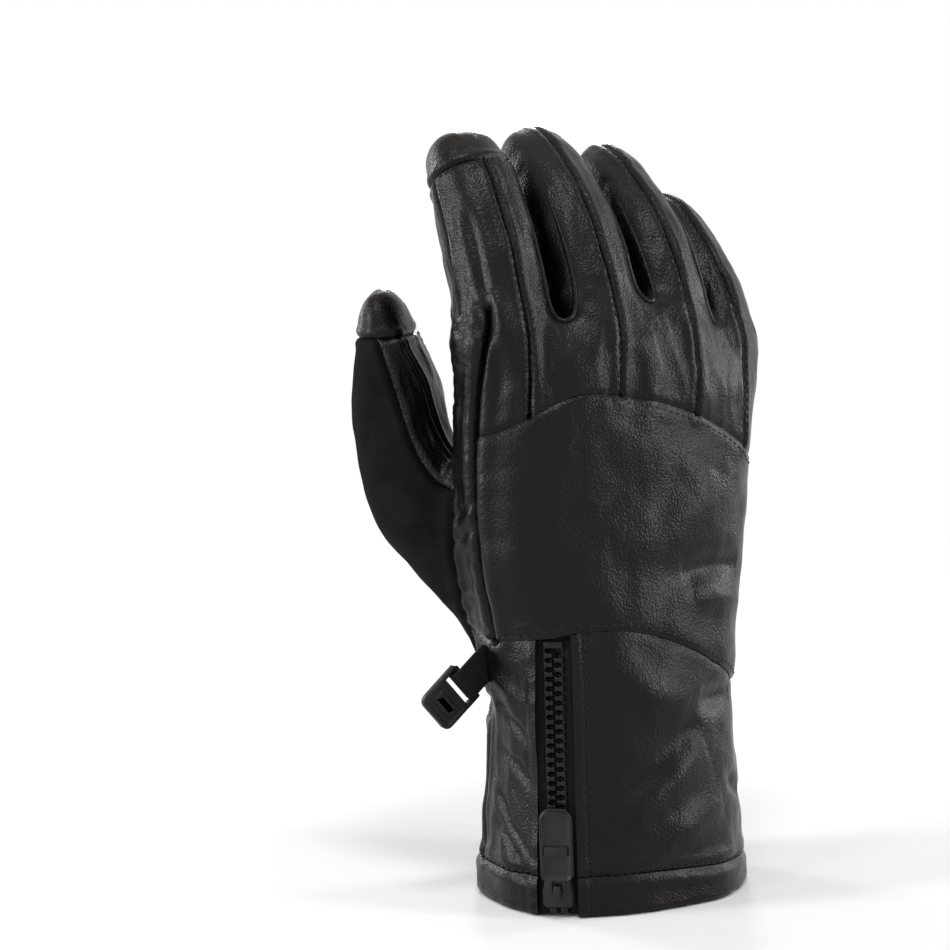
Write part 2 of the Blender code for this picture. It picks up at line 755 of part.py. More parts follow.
def fuse(shapes, place):
    """One closed body from overlapping upright solids, then put in its place."""
    items = []
    for shape in shapes:
        mesh = bpy.data.meshes.new("piece")
        shape.to_mesh(mesh)
        shape.free()
        item = bpy.data.objects.new("piece", mesh)
        bpy.context.scene.collection.objects.link(item)
        items.append(item)
    for item in items[1:]:
        union = items[0].modifiers.new("union", "BOOLEAN")
        union.operation = "UNION"
        union.solver = "EXACT"
        union.object = item
    graph = bpy.context.evaluated_depsgraph_get()
    result = bmesh.new()
    result.from_mesh(items[0].evaluated_get(graph).to_mesh())
    for item in items:
        bpy.data.objects.remove(item)
    bmesh.ops.triangulate(result, faces=result.faces)
    for vertex in result.verts:
        vertex.co = place(*vertex.co)
    return result


def add_zip(zip_frame, bodies):
    hand = bodies["hand"]
    end = zip_frame.chain_end()
    for side, name in ((-1, "left"), (1, "right")):
        add_tape(zip_frame, side, "zip_tape_" + name, hand)
        add_teeth(zip_frame, side, "zip_teeth_" + name, hand)
        stop = bmesh.new()
        across = sorted((side * TEETH_CHANNEL / 2, side * TEETH_HALF_WIDTH))
        hem = SLIDER_START - SEAM_GAP
        block(stop, zip_frame.point, across, (hem - ZIP_STOP_LENGTH, hem), (TEETH_BOTTOM, TEETH_TOP))
        add_object("zip_hem_stop_" + name, stop, "moulded plastic", hand)
    stop = bmesh.new()
    block(stop, zip_frame.point, (-TEETH_HALF_WIDTH, TEETH_HALF_WIDTH),
          (end - ZIP_STOP_LENGTH, end), (TEETH_BOTTOM, TEETH_TOP))
    add_object("zip_top_stop", stop, "moulded plastic", hand)
    add_gusset(zip_frame, hand)
    add_slider(zip_frame, bodies["zip_slider"])
    add_pull(zip_frame, bodies["zip_pull"])


def add_tape(zip_frame, side, name, body):
    """The woven tape between a row of teeth and the leather beside it."""
    shape = bmesh.new()
    low, high = ZIP_TAPE_START, zip_frame.chain_end()
    inner = TEETH_HALF_WIDTH + SEAM_GAP
    outline = [(side * inner, low), (side * (zip_frame.half_width(low) - SEAM_GAP), low),
               (side * (zip_frame.half_width(high) - SEAM_GAP), high), (side * inner, high)]
    if side < 0:
        outline.reverse()
    prism(shape, zip_frame.point, outline, (-ZIP_TAPE_DEPTHS[1], -ZIP_TAPE_DEPTHS[0]))
    add_object(name, shape, "woven tape", body)


def add_teeth(zip_frame, side, name, body):
    """One row of teeth on its bead; the two rows are half a pitch apart."""
    shape = bmesh.new()
    low = SLIDER_START
    high = zip_frame.chain_end() - ZIP_STOP_LENGTH - SEAM_GAP
    tip, root = TEETH_CHANNEL / 2, TEETH_HALF_WIDTH - TEETH_BEAD_WIDTH
    outline = [(root, high), (TEETH_HALF_WIDTH, high), (TEETH_HALF_WIDTH, low), (root, low)]
    first = low + TEETH_PITCH * (0.25 if side < 0 else 0.75)
    count = int((high - first) / TEETH_PITCH)
    for n in range(count):
        start = first + n * TEETH_PITCH
        stop = start + TEETH_PITCH / 2
        outline += [(root, start), (tip, start), (tip, stop), (root, stop)]
    outline = [(side * a, u) for a, u in outline]
    if side > 0:
        outline.reverse()
    prism(shape, zip_frame.point, outline, (TEETH_BOTTOM, TEETH_TOP))
    add_object(name, shape, "moulded plastic", body)


def add_gusset(zip_frame, body):
    """Folded leather behind the zip, sewn under the two panels beside it."""
    shape = bmesh.new()
    floor = -SLIDER_FLOOR - RUNNING_GAP
    seat = -LEATHER_DEPTHS[1] - SEAM_GAP - GUSSET_SLACK
    stations = []
    for up in (GUSSET_START, zip_frame.chain_end() - ZIP_STOP_LENGTH):
        half = zip_frame.half_width(up)
        profile = [(-half - GUSSET_MARGIN, seat - GUSSET_FALL * GUSSET_MARGIN), (-half, seat),
                   (-half + GUSSET_WALL, floor), (half - GUSSET_WALL, floor),
                   (half, seat), (half + GUSSET_MARGIN, seat - GUSSET_FALL * GUSSET_MARGIN)]
        profile += [(a, o - GUSSET_THICKNESS) for a, o in reversed(profile)]
        stations.append([shape.verts.new(zip_frame.point(a, up, o)) for a, o in profile])
    low, high = stations
    count = len(low)
    for i in range(count):
        shape.faces.new((low[i - 1], high[i - 1], high[i], low[i]))
    for i in range(count // 2 - 1):
        j = count - 2 - i
        shape.faces.new((low[i], low[i + 1], low[j], low[j + 1]))
        shape.faces.new((high[j + 1], high[j], high[i + 1], high[i]))
    bmesh.ops.recalc_face_normals(shape, faces=shape.faces)
    add_object("zip_gusset", shape, "smooth leather", body)


def add_slider(zip_frame, body):
    """Two plates over and under the chain, joined by a post in the channel between the rows."""
    low, high = SLIDER_START, SLIDER_START + SLIDER_LENGTH
    middle = (low + high) / 2
    width = SLIDER_HALF_WIDTH
    under = TEETH_BOTTOM - SEAM_GAP
    over = TEETH_TOP + RUNNING_GAP
    top = over + SLIDER_PLATE
    arch = top + 2 * (RUNNING_GAP + PULL_PIN_RADIUS)
    sink = SLIDER_PLATE / 4
    window = PULL_PIN_RADIUS + RUNNING_GAP
    foot = window + SLIDER_PLATE
    post = TEETH_CHANNEL / 2 - SEAM_GAP
    bridge = (-BRIDGE_HALF_WIDTH, BRIDGE_HALF_WIDTH)
    pieces = [
        ((-width, width), (low, high), (over, top)),
        ((-width, width), (low, high), (-SLIDER_FLOOR, under)),
        ((-post, post), (middle - foot, middle + foot), (under - sink, over + sink)),
        ((-width, -width + SLIDER_FLANGE), (low, high), (RUNNING_GAP - ZIP_TAPE_DEPTHS[0], over + sink)),
        ((width - SLIDER_FLANGE, width), (low, high), (RUNNING_GAP - ZIP_TAPE_DEPTHS[0], over + sink)),
        (bridge, (middle - foot, middle - window), (top - sink, arch + sink)),
        (bridge, (middle + window, middle + foot), (top - sink, arch + sink)),
        (bridge, (middle - foot, middle + foot), (arch, arch + BRIDGE_RISE)),
    ]
    shapes = []
    for across, up, out in pieces:
        shape = bmesh.new()
        block(shape, upright, across, up, out)
        shapes.append(shape)
    add_object("zip_slider", fuse(shapes, zip_frame.point), "painted metal", body)


def add_pull(zip_frame, body):
    """Pull tab with a rounded end and a sunken face, on a pin under the slider's bridge."""
    pin = zip_frame.pin()
    tilt = math.radians(PULL_TILT)
    along = zip_frame.up * math.cos(tilt) + zip_frame.out * math.sin(tilt)
    outward = zip_frame.out * math.cos(tilt) - zip_frame.up * math.sin(tilt)

    def place(across, up, out):
        return pin + zip_frame.across * across + along * up + outward * out

    half = PULL_WIDTH / 2
    start = SLIDER_LENGTH / 2 - PULL_OVERLAP
    stop = start + PULL_LENGTH
    corners = ((half, start, PULL_CORNER, -90), (half, stop, PULL_ROUND, 0),
               (-half, stop, PULL_ROUND, 90), (-half, start, PULL_CORNER, 180))
    outline = [point for corner in corners for point in corner_arc(*corner)]
    low = -PULL_PIN_RADIUS
    tab = bmesh.new()
    face = prism(tab, upright, outline, (low, low + PULL_THICKNESS))
    tab.normal_update()
    bmesh.ops.inset_individual(tab, faces=[face], thickness=PULL_RIM)
    bmesh.ops.translate(tab, verts=face.verts, vec=(0, 0, -PULL_SINK))
    inner = BRIDGE_HALF_WIDTH + RUNNING_GAP
    half_arm = PULL_PIN_RADIUS - PULL_PIN_INSET
    half_bar = half_arm - PULL_PIN_INSET
    shapes = [tab]
    for side in (-1, 1):
        arm = bmesh.new()
        across = sorted((side * inner, side * (inner + PULL_ARM)))
        block(arm, upright, across, (low, start + PULL_ARM), (-half_arm, half_arm))
        shapes.append(arm)
    bar = bmesh.new()
    ends = (-inner - PULL_ARM / 2, inner + PULL_ARM / 2)
    block(bar, upright, ends, (-half_bar, half_bar), (-half_bar, half_bar))
    shapes.append(bar)
    add_object("zip_pull_tab", fuse(shapes, place), "moulded plastic", body)


def corner_arc(x, y, radius, start, steps=4):
    """Points of a rounded corner of an upright rectangle, turning a quarter from an angle."""
    centre_x = x - math.copysign(radius, x)
    centre_y = y - radius if start in (0, 90) else y + radius
    points = []
    for i in range(steps + 1):
        angle = math.radians(start + 90 * i / steps)
        points.append((centre_x + radius * math.cos(angle), centre_y + radius * math.sin(angle)))
    return points


# Wrist strap and buckle

class StrapFrame:
    """Along, across and out from the middle of the buckle's bar."""

    def __init__(self, skin):
        fall = math.radians(STRAP_FALL)
        self.along = Vector((-math.cos(fall), 0, -math.sin(fall)))
        self.out = Vector((0, -1, 0))
        self.across = self.out.cross(self.along)
        surface = BVHTree.FromPolygons(skin.points, skin.faces)
        reach = STRAP_WIDTH * STRAP_END_SHARE
        ends = [Vector((-1, STRAP_DEPTH, STRAP_HEIGHT + rise)) for rise in (-reach, reach)]
        low, high = (surface.ray_cast(end, Vector((1, 0, 0)))[0] for end in ends)
        self.root = (low + high) / 2 - Vector((STRAP_ROOT_GAP, 0, 0))
        self.lean = math.atan2(high.x - low.x, high.z - low.z)
        self.bar = self.root + self.along * STRAP_LENGTH

    def point(self, across, along, out):
        return self.bar + self.across * across + self.along * along + self.out * out


def add_strap(frame, body):
    """Webbing from the side seam to the buckle, folded round the buckle's bar."""
    shape = bmesh.new()
    inner = BUCKLE_BAR_RADIUS + RUNNING_GAP
    middle = inner + STRAP_THICKNESS / 2
    stations = [(-STRAP_LENGTH, middle, 90.0), (-STRAP_LENGTH * 0.4, middle, 90.0)]
    stations += [(middle * math.cos(math.radians(a)), middle * math.sin(math.radians(a)), a)
                 for a in range(90, 90 - STRAP_WRAP - 1, -30)]
    rows = []
    for along, out, angle in stations:
        turn = math.radians(angle)
        normal = Vector((math.cos(turn), math.sin(turn))) * STRAP_THICKNESS / 2
        row = []
        for across, side in ((-1, -1), (1, -1), (1, 1), (-1, 1)):
            skew = 0 if rows else across * STRAP_WIDTH / 2 * math.tan(math.radians(STRAP_FALL) + frame.lean)
            place = (across * STRAP_WIDTH / 2, along + normal.x * side + skew, out + normal.y * side)
            row.append(shape.verts.new(frame.point(*place)))
        rows.append(row)
    for low, high in zip(rows, rows[1:]):
        for i in range(4):
            shape.faces.new((low[i - 1], low[i], high[i], high[i - 1]))
    shape.faces.new(rows[0][::-1])
    shape.faces.new(rows[-1])
    bmesh.ops.recalc_face_normals(shape, faces=shape.faces)
    add_object("wrist_strap", shape, "woven tape", body)


def add_buckle(frame, body):
    """A flat frame whose near bar carries the strap."""
    radius = BUCKLE_BAR_RADIUS
    inside = STRAP_WIDTH / 2 + RUNNING_GAP
    outside = inside + BUCKLE_RAIL
    slot = radius + 2 * RUNNING_GAP + STRAP_THICKNESS + BUCKLE_SLOT_SPARE
    across = (-outside, -inside, inside, outside)
    along = (-radius, radius, slot, BUCKLE_LENGTH)
    half = BUCKLE_THICKNESS / 2
    shape = bmesh.new()
    cells = [(i, j) for i in range(3) for j in range(3) if (i, j) != (1, 1)]
    layers = {}
    for out in (-half, half):
        for j, up in enumerate(along):
            for i, side in enumerate(across):
                thick = radius / half if j < 2 else 1.0
                layers[out > 0, i, j] = shape.verts.new(frame.point(side, up, out * thick))
    for i, j in cells:
        corners = ((i, j), (i + 1, j), (i + 1, j + 1), (i, j + 1))
        shape.faces.new([layers[(True,) + corner] for corner in corners])
        shape.faces.new([layers[(False,) + corner] for corner in reversed(corners)])
    edges = {}
    for i, j in cells:
        corners = ((i, j), (i + 1, j), (i + 1, j + 1), (i, j + 1))
        for n in range(4):
            edges[corners[n - 1], corners[n]] = True
    for a, b in edges:
        if (b, a) not in edges:
            shape.faces.new((layers[(True,) + b], layers[(True,) + a],
                             layers[(False,) + a], layers[(False,) + b]))
    bmesh.ops.recalc_face_normals(shape, faces=shape.faces)
    add_object("wrist_buckle", shape, "moulded plastic", body)


# The whole glove

def palm_pivot(cage, skin, number):
    """Where a finger bends: on the palm's skin where the finger's own leather starts."""
    return max((skin.points[i] for i in cage.finger_bases[number]), key=lambda place: place.y).copy()


def thumb_pivot(cage, skin):
    """Where the thumb swings: upright through the inner edge of its base."""
    first = THUMB_COLUMNS[0]
    places = [skin.points[cage.rings[ring][first]] for ring in range(THUMB_ROWS[0], THUMB_ROWS[1] + 1)]
    return places[1].copy()


def add_bodies(cage, skin, zip_frame, strap_frame):
    """Empties on the joint axes, all under one empty that stands for the hand."""
    hand = add_empty("glove", Vector())
    bodies = {"hand": hand}
    for number, name in enumerate(FINGER_NAMES):
        bodies[name] = add_empty(name + "_hinge", palm_pivot(cage, skin, number), hand)
    bodies["thumb"] = add_empty("thumb_hinge", thumb_pivot(cage, skin), hand)
    bodies["zip_slider"] = add_empty("zip_slide", zip_frame.origin, hand)
    bodies["zip_pull"] = add_empty("zip_pull_hinge", zip_frame.pin(), hand)
    bodies["buckle"] = add_empty("buckle_hinge", strap_frame.bar, hand)
    return bodies


def centre_on_origin(hand):
    """Put the middle of the whole glove's box over the origin."""
    bpy.context.view_layer.update()
    corners = [item.matrix_world @ Vector(corner) for item in bpy.data.objects if item.type == "MESH"
               for corner in item.bound_box]
    for axis in (0, 1):
        values = [corner[axis] for corner in corners]
        hand.location[axis] = -(min(values) + max(values)) / 2
    bpy.context.view_layer.update()


def main():
    for item in list(bpy.data.objects):
        bpy.data.objects.remove(item)
    cage = build_cage()
    skin = Skin(cage, SKIN_LEVELS)
    zip_frame = ZipFrame(cage, skin)
    strap_frame = StrapFrame(skin)
    bodies = add_bodies(cage, skin, zip_frame, strap_frame)
    add_shell(cage, skin, bodies)
    add_layers(cage, skin, bodies)
    add_zip(zip_frame, bodies)
    add_strap(strap_frame, bodies["hand"])
    add_buckle(strap_frame, bodies["buckle"])
    centre_on_origin(bodies["hand"])


main()
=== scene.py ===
"""Right-hand leather ski glove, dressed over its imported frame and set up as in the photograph.

+Z runs from the cuff to the fingertips, -Y is the back of the hand and -X the thumb side.
All sizes are in metres. The leather is one control cage smoothed by subdivision, given its
seams and folds as relief, and cut into the glove's panels.
"""

import json
import math

import bmesh
import bpy
import numpy as np
from mathutils import Matrix, Vector, kdtree, noise
from mathutils.bvhtree import BVHTree

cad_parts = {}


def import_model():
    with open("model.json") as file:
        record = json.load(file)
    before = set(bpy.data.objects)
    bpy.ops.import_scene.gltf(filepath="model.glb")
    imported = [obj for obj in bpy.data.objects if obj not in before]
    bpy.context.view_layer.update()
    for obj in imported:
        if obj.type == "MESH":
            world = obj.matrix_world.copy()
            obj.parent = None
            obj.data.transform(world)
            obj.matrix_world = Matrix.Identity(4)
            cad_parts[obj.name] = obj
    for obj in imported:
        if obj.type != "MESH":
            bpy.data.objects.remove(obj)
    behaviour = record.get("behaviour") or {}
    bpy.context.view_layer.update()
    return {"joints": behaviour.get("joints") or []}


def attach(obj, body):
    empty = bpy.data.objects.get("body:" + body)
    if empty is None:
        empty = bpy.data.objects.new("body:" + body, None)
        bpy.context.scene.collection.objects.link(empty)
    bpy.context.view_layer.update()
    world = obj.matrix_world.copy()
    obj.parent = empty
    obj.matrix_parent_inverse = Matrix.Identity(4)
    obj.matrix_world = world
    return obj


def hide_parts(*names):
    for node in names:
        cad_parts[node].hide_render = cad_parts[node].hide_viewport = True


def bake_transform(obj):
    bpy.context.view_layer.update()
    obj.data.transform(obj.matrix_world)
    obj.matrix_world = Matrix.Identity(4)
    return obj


# Hand sections from the hem up: height, half width, depth to the back, depth to the palm,
# sideways shift and shift towards the palm.
SECTIONS = (
    (0.000, 0.0455, 0.0340, 0.0340, 0.0000, 0.0000),
    (0.062, 0.0420, 0.0310, 0.0255, -0.0020, 0.0005),
    (0.085, 0.0445, 0.0290, 0.0270, -0.0030, 0.0020),
    (0.120, 0.0515, 0.0270, 0.0265, -0.0045, 0.0045),
    (0.150, 0.0535, 0.0250, 0.0240, -0.0025, 0.0050),
    (0.180, 0.0540, 0.0215, 0.0205, -0.0005, 0.0045),
    (0.200, 0.0535, 0.0190, 0.0180, 0.0010, 0.0040),
)
CUFF_ROUNDNESS = 2.1
HAND_ROUNDNESS = 2.6
HAND_STARTS = 0.060
HAND_WIDENED = 0.150
THUMB_EDGE_TURN = 0.35
PALM_EDGE_TURN = 0.52
LITTLE_EDGE_TURN = 0.0

# Where the nine columns lie across the cuff and across the knuckles, as shares of the half width.
CUFF_SHARES = (-0.985, -0.875, -0.63, -0.35, -0.03, 0.28, 0.56, 0.79, 0.95)
KNUCKLE_SHARES = (-0.99, -0.70, -0.45, -0.16, 0.13, 0.37, 0.61, 0.80, 0.95)

# Ring heights on the palm from the hem to the top of the thumb's base, then shares of the way on
# to the fingers, and the overlay's two edges across the back.
PALM_HEIGHTS = (0.0, 0.011, 0.028, 0.045, 0.060, 0.065, 0.084, 0.114, 0.143)
PALM_RINGS = (0.36, 0.66, 0.86)
OVERLAY_BOTTOM = (0.085, 0.0875, 0.089, 0.090, 0.087, 0.081, 0.074, 0.068, 0.061)
OVERLAY_TOP = (0.146, 0.157, 0.165, 0.162, 0.158, 0.153, 0.147, 0.140, 0.131)
OVERLAY_RINGS = (0.0, 0.30, 0.58, 0.82, 1.0)

# Fingers from the index out. Webs are the slit bottoms on the back and on the palm, from the
# thumb side of the index to the outside of the little finger.
FINGER_NAMES = ("index", "middle", "ring", "little")
FINGER_EDGES = (-0.0535, -0.0225, 0.0075, 0.0335, 0.0550)
FINGER_GAP = 0.0016
WEB_BACK = (0.180, 0.184, 0.189, 0.179, 0.166)
WEB_PALM = (0.175, 0.179, 0.182, 0.175, 0.164)
WEB_RISE = 0.002
WEB_SINK = 0.003
FINGER_LENGTHS = (0.071, 0.071, 0.069, 0.061)
FINGER_THICKNESS = (0.0290, 0.0300, 0.0290, 0.0270)
FINGER_BASE_LEAN = (10.0, 15.0, 20.0, 24.0)
FINGER_TIP_LEAN = (50.0, 70.0, 76.0, 78.0)
FINGER_BASE_DEPTH = (0.005, 0.003, 0.005, 0.010)
FINGER_RINGS = (0.10, 0.30, 0.53, 0.75, 0.92)
FINGER_WIDTH_TAPER = (1.0, 1.0, 0.98, 0.92, 0.72)
FINGER_THICKNESS_TAPER = (0.96, 0.90, 0.84, 0.76, 0.58)

# Thumb: place of each ring's middle, lean out from upright, half width, half thickness and twist.
# It leaves the palm through a block of the skin, goes out and turns up.
THUMB_PATH = (
    ((-0.0510, 0.0330, 0.1230), 52.0, 0.0180, 0.0190, 0.0),
    ((-0.0550, 0.0400, 0.1410), 25.0, 0.0160, 0.0150, 8.0),
    ((-0.0562, 0.0422, 0.1630), 8.0, 0.0150, 0.0132, 22.0),
    ((-0.0582, 0.0432, 0.1770), 2.0, 0.0128, 0.0078, 36.0),
    ((-0.0600, 0.0440, 0.1880), 4.0, 0.0088, 0.0046, 40.0),
)
THUMB_TIP = (-0.0606, 0.0442, 0.1930)
THUMB_BEARING = 125.0

# Zip, measured across, up and out from the middle of its opening at the hem.
ZIP_TAPE_DEPTHS = (0.0003, 0.0009)
TEETH_HALF_WIDTH = 0.0030
TEETH_CHANNEL = 0.0010
TEETH_PITCH = 0.0030
TEETH_TOP = 0.0006
TEETH_BOTTOM = -0.0018
TOOTH_TIP = 0.0003
TOOTH_FOOT = 0.00095
TOOTH_NECK = 0.00062
TOOTH_HEAD = 0.00088
TOOTH_ROUND = 0.00028
TOOTH_OUTLINE = ((TEETH_HALF_WIDTH, TOOTH_FOOT), (0.0021, TOOTH_FOOT), (0.0016, TOOTH_NECK),
                 (0.0011, TOOTH_NECK), (0.0008, TOOTH_HEAD), (TOOTH_TIP, TOOTH_HEAD * 0.8))
BEAD_ACROSS = (TEETH_HALF_WIDTH - 0.0004, TEETH_HALF_WIDTH + 0.0001)
BEAD_OUT = (TEETH_BOTTOM + 0.0003, TEETH_TOP - 0.0007)
ZIP_STOP_LENGTH = 0.0022
ZIP_STOP_GAP = 0.0003
ZIP_STOP_ROUND = 0.0004
ZIP_TAPE_START = 0.0008
ZIP_TAPE_INNER_GAP = 0.0002
ZIP_TAPE_OUTER_GAP = 0.0003
ZIP_TAPE_ROUND = 0.00022
ZIP_END_MARGIN = 0.0014
SLIDER_START = 0.0032
SLIDER_LENGTH = 0.0105
SLIDER_HALF_WIDTH = 0.0046
SLIDER_PLATE = 0.0012
SLIDER_FLANGE = 0.0011
SLIDER_FLOOR = 0.0030
SLIDER_TAPER = 0.0011
SLIDER_CORNER = (0.0008, 0.0009)
SLIDER_FLANGE_ENDS = 0.001
SLIDER_ROUND = 0.0003
SLIDER_LAP = 0.0003
SLIDER_UNDER_GAP = 0.0003
SLIDER_POST_GAP = 0.0001
BRIDGE_HALF_WIDTH = 0.0011
BRIDGE_RISE = 0.0012
BAIL_DROP = 0.0028
BAIL_LAP = 0.0004
PULL_PIN_RADIUS = 0.0006
PULL_WIDTH = 0.0097
PULL_LENGTH = 0.0226
PULL_THICKNESS = 0.0024
PULL_ARM = 0.0010
PULL_OVERLAP = 0.0012
PULL_CORNER = 0.0018
PULL_ROUND = 0.0034
PULL_RIM = 0.0014
PULL_SINK = 0.0010
PULL_EDGE_ROUND = 0.00035
PULL_EDGE_ANGLE = 0.5
PULL_RIDGE_PLACE = 0.36
PULL_RIDGE_LENGTH = 0.0030
PULL_RIDGE_INSET = 0.0012
PULL_RIDGE_DEPTHS = (0.0016, 0.0002)
PULL_ARM_START = 0.0001
PULL_ARM_HALF = 0.0005
PULL_PIN_HALF = 0.0004
PULL_LUG_ROUND = 0.0002
PULL_TILT = 6.0
GUSSET_THICKNESS = 0.0006
GUSSET_START = 0.0135
GUSSET_MARGIN = 0.0014
GUSSET_WALL = 0.0012
GUSSET_FALL = 0.55
GUSSET_DROP = 0.0011
GUSSET_DIP = 0.0001
GUSSET_RINGS = 24

# Wrist strap and its buckle on the thumb edge.
STRAP_WIDTH = 0.0105
STRAP_THICKNESS = 0.0013
STRAP_LENGTH = 0.0085
STRAP_FALL = 41.0
STRAP_WRAP = 240
STRAP_WRAP_STEP = 20
STRAP_ROOT = 0.004
STRAP_MIDDLE = 0.4
STRAP_ROUND = 0.00035
STRAP_EDGE_ANGLE = 1.0
BUCKLE_BAR_RADIUS = 0.0009
BUCKLE_LENGTH = 0.0150
BUCKLE_RAIL = 0.0016
BUCKLE_THICKNESS = 0.0022
BUCKLE_SLOT_SPARE = 0.0012
BUCKLE_LAP = 0.0012
BUCKLE_BAR_INSET = 0.0012
BUCKLE_ROUND = 0.0005
BUCKLE_CORNERS = (0.0012, 0.0026)
BUCKLE_LEAST_CORNER = 0.0003

# The buckle's plate from its underside up and in: inset of each outline, and its depth below the
# upper face or, for the first two, its height over the lower one.
BUCKLE_UNDER = ((0.0004, 0.0), (0.0, 0.0004))
BUCKLE_OVER = ((0.0, 0.0004), (0.0004, 0.0), (0.0013, 0.0), (0.0016, 0.0004), (0.0030, 0.0004),
               (0.0033, 0.0), (0.0045, 0.0))

# Gap between pieces that move on each other, the angle from which a hard piece's edges are shaded
# sharp, and millimetres to a metre.
RUNNING_GAP = 0.0004
SHARP_ANGLE = 35.0
MILLIMETRES = 1000

# The skin's columns run 0-8 across the back from the thumb side, then the little-finger edge,
# 10-18 back across the palm, and the thumb edge.
BACK_COLUMNS = 9
LITTLE_EDGE = 9
THUMB_EDGE = 19
RING_COLUMNS = 20
CUFF_RINGS = 6
ELASTIC_ROW = 4
OVERLAY_TOP_RING = CUFF_RINGS + len(OVERLAY_RINGS) - 1
HAND_RINGS = len(PALM_HEIGHTS) + len(PALM_RINGS)
ZIP_COLUMN = 1
SUEDE_COLUMN = 16
THUMB_ROWS = (6, 8)
THUMB_COLUMNS = (17, 19)

# Subdivision draws an octagon in by this much, so digit cages are swelled to end at their size.
OCTAGON_SWELL = 1.108
OCTAGON_CORNER = 0.76

# Panels that the skin is cut into; the zip's opening is left empty.
PANELS = (
    "hem_band", "cuff_thumb_panel", "cuff_back_panel", "cuff_palm_panel", "wrist_elastic_casing",
    "back_overlay", "thumb_side_panel", "palm_panel", "palm_suede_patch", "zip_opening",
    "knuckle_strip_1", "knuckle_strip_2", "knuckle_strip_3", "knuckle_strip_4", "knuckle_strip_5",
    "index_back_left", "index_back_right", "index_palm", "index_tip_cap",
    "middle_back_left", "middle_back_right", "middle_palm",
    "ring_back_left", "ring_back_right", "ring_palm",
    "little_back_left", "little_back_right", "little_palm",
    "thumb_leather", "thumb_suede", "thumb_tip_cap",
)

# The skin is smoothed finely for the leather and coarsely for the layers inside it.
LEATHER_LEVELS = 4
LAYER_LEVELS = 2
LEATHER_THICKNESS = 0.0010
OVERLAY_LIFT = 0.0009
OVERLAY_EDGE = 0.0011
OVERLAY_EDGE_SHARE = 0.15
OVERLAY_PRESS = 0.00022
OVERLAY_PRESS_WIDTH = 0.0009
HEM_LIFT = 0.0004
HEM_ROUND = 0.0016
HEM_THICKNESS = 0.0022
PADDING_DEPTHS = (0.0019, 0.0026)
LINING_DEPTHS = (0.0029, 0.0037)
HAND_PADDING_DEPTHS = (0.0023, 0.0042)
HAND_LINING_DEPTHS = (0.0050, 0.0062)
HEM_LINING_DEPTH = 0.0027
HEM_LINING_HEIGHTS = (0.0015, 0.0140)
ZIP_LINING_FADE = (0.008, 0.013)
ZIP_LINING_REACH = 0.02
ZIP_LINING_STEPS = 60

# Relief beside each kind of seam: height, distance from the seam and width of each swell.
SEAM_RELIEF = {
    "seam": ((-0.0010, 0.0, 0.0006), (0.0004, 0.0021, 0.0013)),
    "gutter": ((-0.0020, 0.0, 0.0009), (0.0010, 0.0034, 0.0026)),
    "welt": ((-0.0009, 0.0, 0.0007), (0.0006, 0.0016, 0.0011)),
    "lap": ((-0.0005, 0.0, 0.0012),),
    "hem": ((-0.0006, 0.0, 0.0010), (0.0004, 0.0030, 0.0020)),
    "opening": ((0.0011, 0.0010, 0.0040), (-0.0004, 0.0034, 0.0006)),
    "elastic": ((-0.0006, 0.0, 0.0010),),
}
SEAM_REACH = 0.009

# Folds traced in the photograph's pixels: height, width and the points along each.
FOLDS = (
    (0.0027, 0.0070, ((600, 838), (650, 800), (706, 748))),
    (0.0024, 0.0065, ((606, 876), (660, 845), (722, 800))),
    (0.0017, 0.0070, ((600, 660), (650, 690), (690, 700))),
    (-0.0017, 0.0045, ((612, 800), (660, 765), (700, 720))),
    (-0.0012, 0.0016, ((497, 700), (512, 720), (528, 745))),
    (-0.0010, 0.0015, ((500, 745), (515, 765), (530, 790))),
    (-0.0014, 0.0018, ((499, 790), (510, 825), (535, 865))),
    (-0.0010, 0.0015, ((497, 815), (515, 850), (530, 880))),
    (-0.0026, 0.0040, ((700, 700), (718, 697), (733, 690))),
    (-0.0020, 0.0030, ((728, 775), (740, 790))),
    (-0.0026, 0.0040, ((680, 575), (710, 566), (735, 560))),
    (0.0020, 0.0045, ((690, 592), (715, 596), (736, 600))),
    (0.0017, 0.0090, ((610, 545), (660, 532), (700, 515), (715, 470))),
    (0.0014, 0.0090, ((500, 470), (520, 540), (510, 610))),
    (-0.0017, 0.0030, ((487, 315), (495, 350), (500, 400))),
    (0.0015, 0.0040, ((500, 300), (508, 350), (512, 400))),
    (-0.0012, 0.0030, ((545, 350), (552, 380), (560, 400))),
    (0.0014, 0.0045, ((640, 330), (650, 370), (655, 405))),
    (0.0014, 0.0045, ((700, 360), (708, 390), (712, 415))),
    (-0.0024, 0.0022, ((474, 300), (477, 318), (478, 338))),
    (-0.0010, 0.0014, ((448, 520), (462, 512), (474, 500))),
    (-0.0010, 0.0014, ((448, 545), (462, 536), (476, 524))),
    (-0.0010, 0.0014, ((452, 600), (464, 590), (476, 575))),
    (-0.0010, 0.0014, ((454, 625), (466, 612), (478, 600))),
)

# Soft folds of the palm, across and up the glove: height, width and the points along each.
PALM_FOLDS = (
    (-0.0024, 0.0040, ((-0.030, 0.140), (-0.010, 0.132), (0.012, 0.128), (0.040, 0.132))),
    (-0.0017, 0.0035, ((-0.010, 0.110), (0.008, 0.104), (0.026, 0.090))),
    (0.0020, 0.0070, ((0.000, 0.120), (0.020, 0.115), (0.040, 0.112))),
    (-0.0017, 0.0040, ((0.020, 0.160), (0.034, 0.152), (0.048, 0.150))),
    (0.0017, 0.0060, ((-0.015, 0.162), (0.004, 0.158), (0.020, 0.164))),
    (0.0020, 0.0060, ((-0.030, 0.040), (0.000, 0.034), (0.030, 0.042))),
    (-0.0015, 0.0035, ((-0.025, 0.026), (0.005, 0.022), (0.032, 0.028))),
)

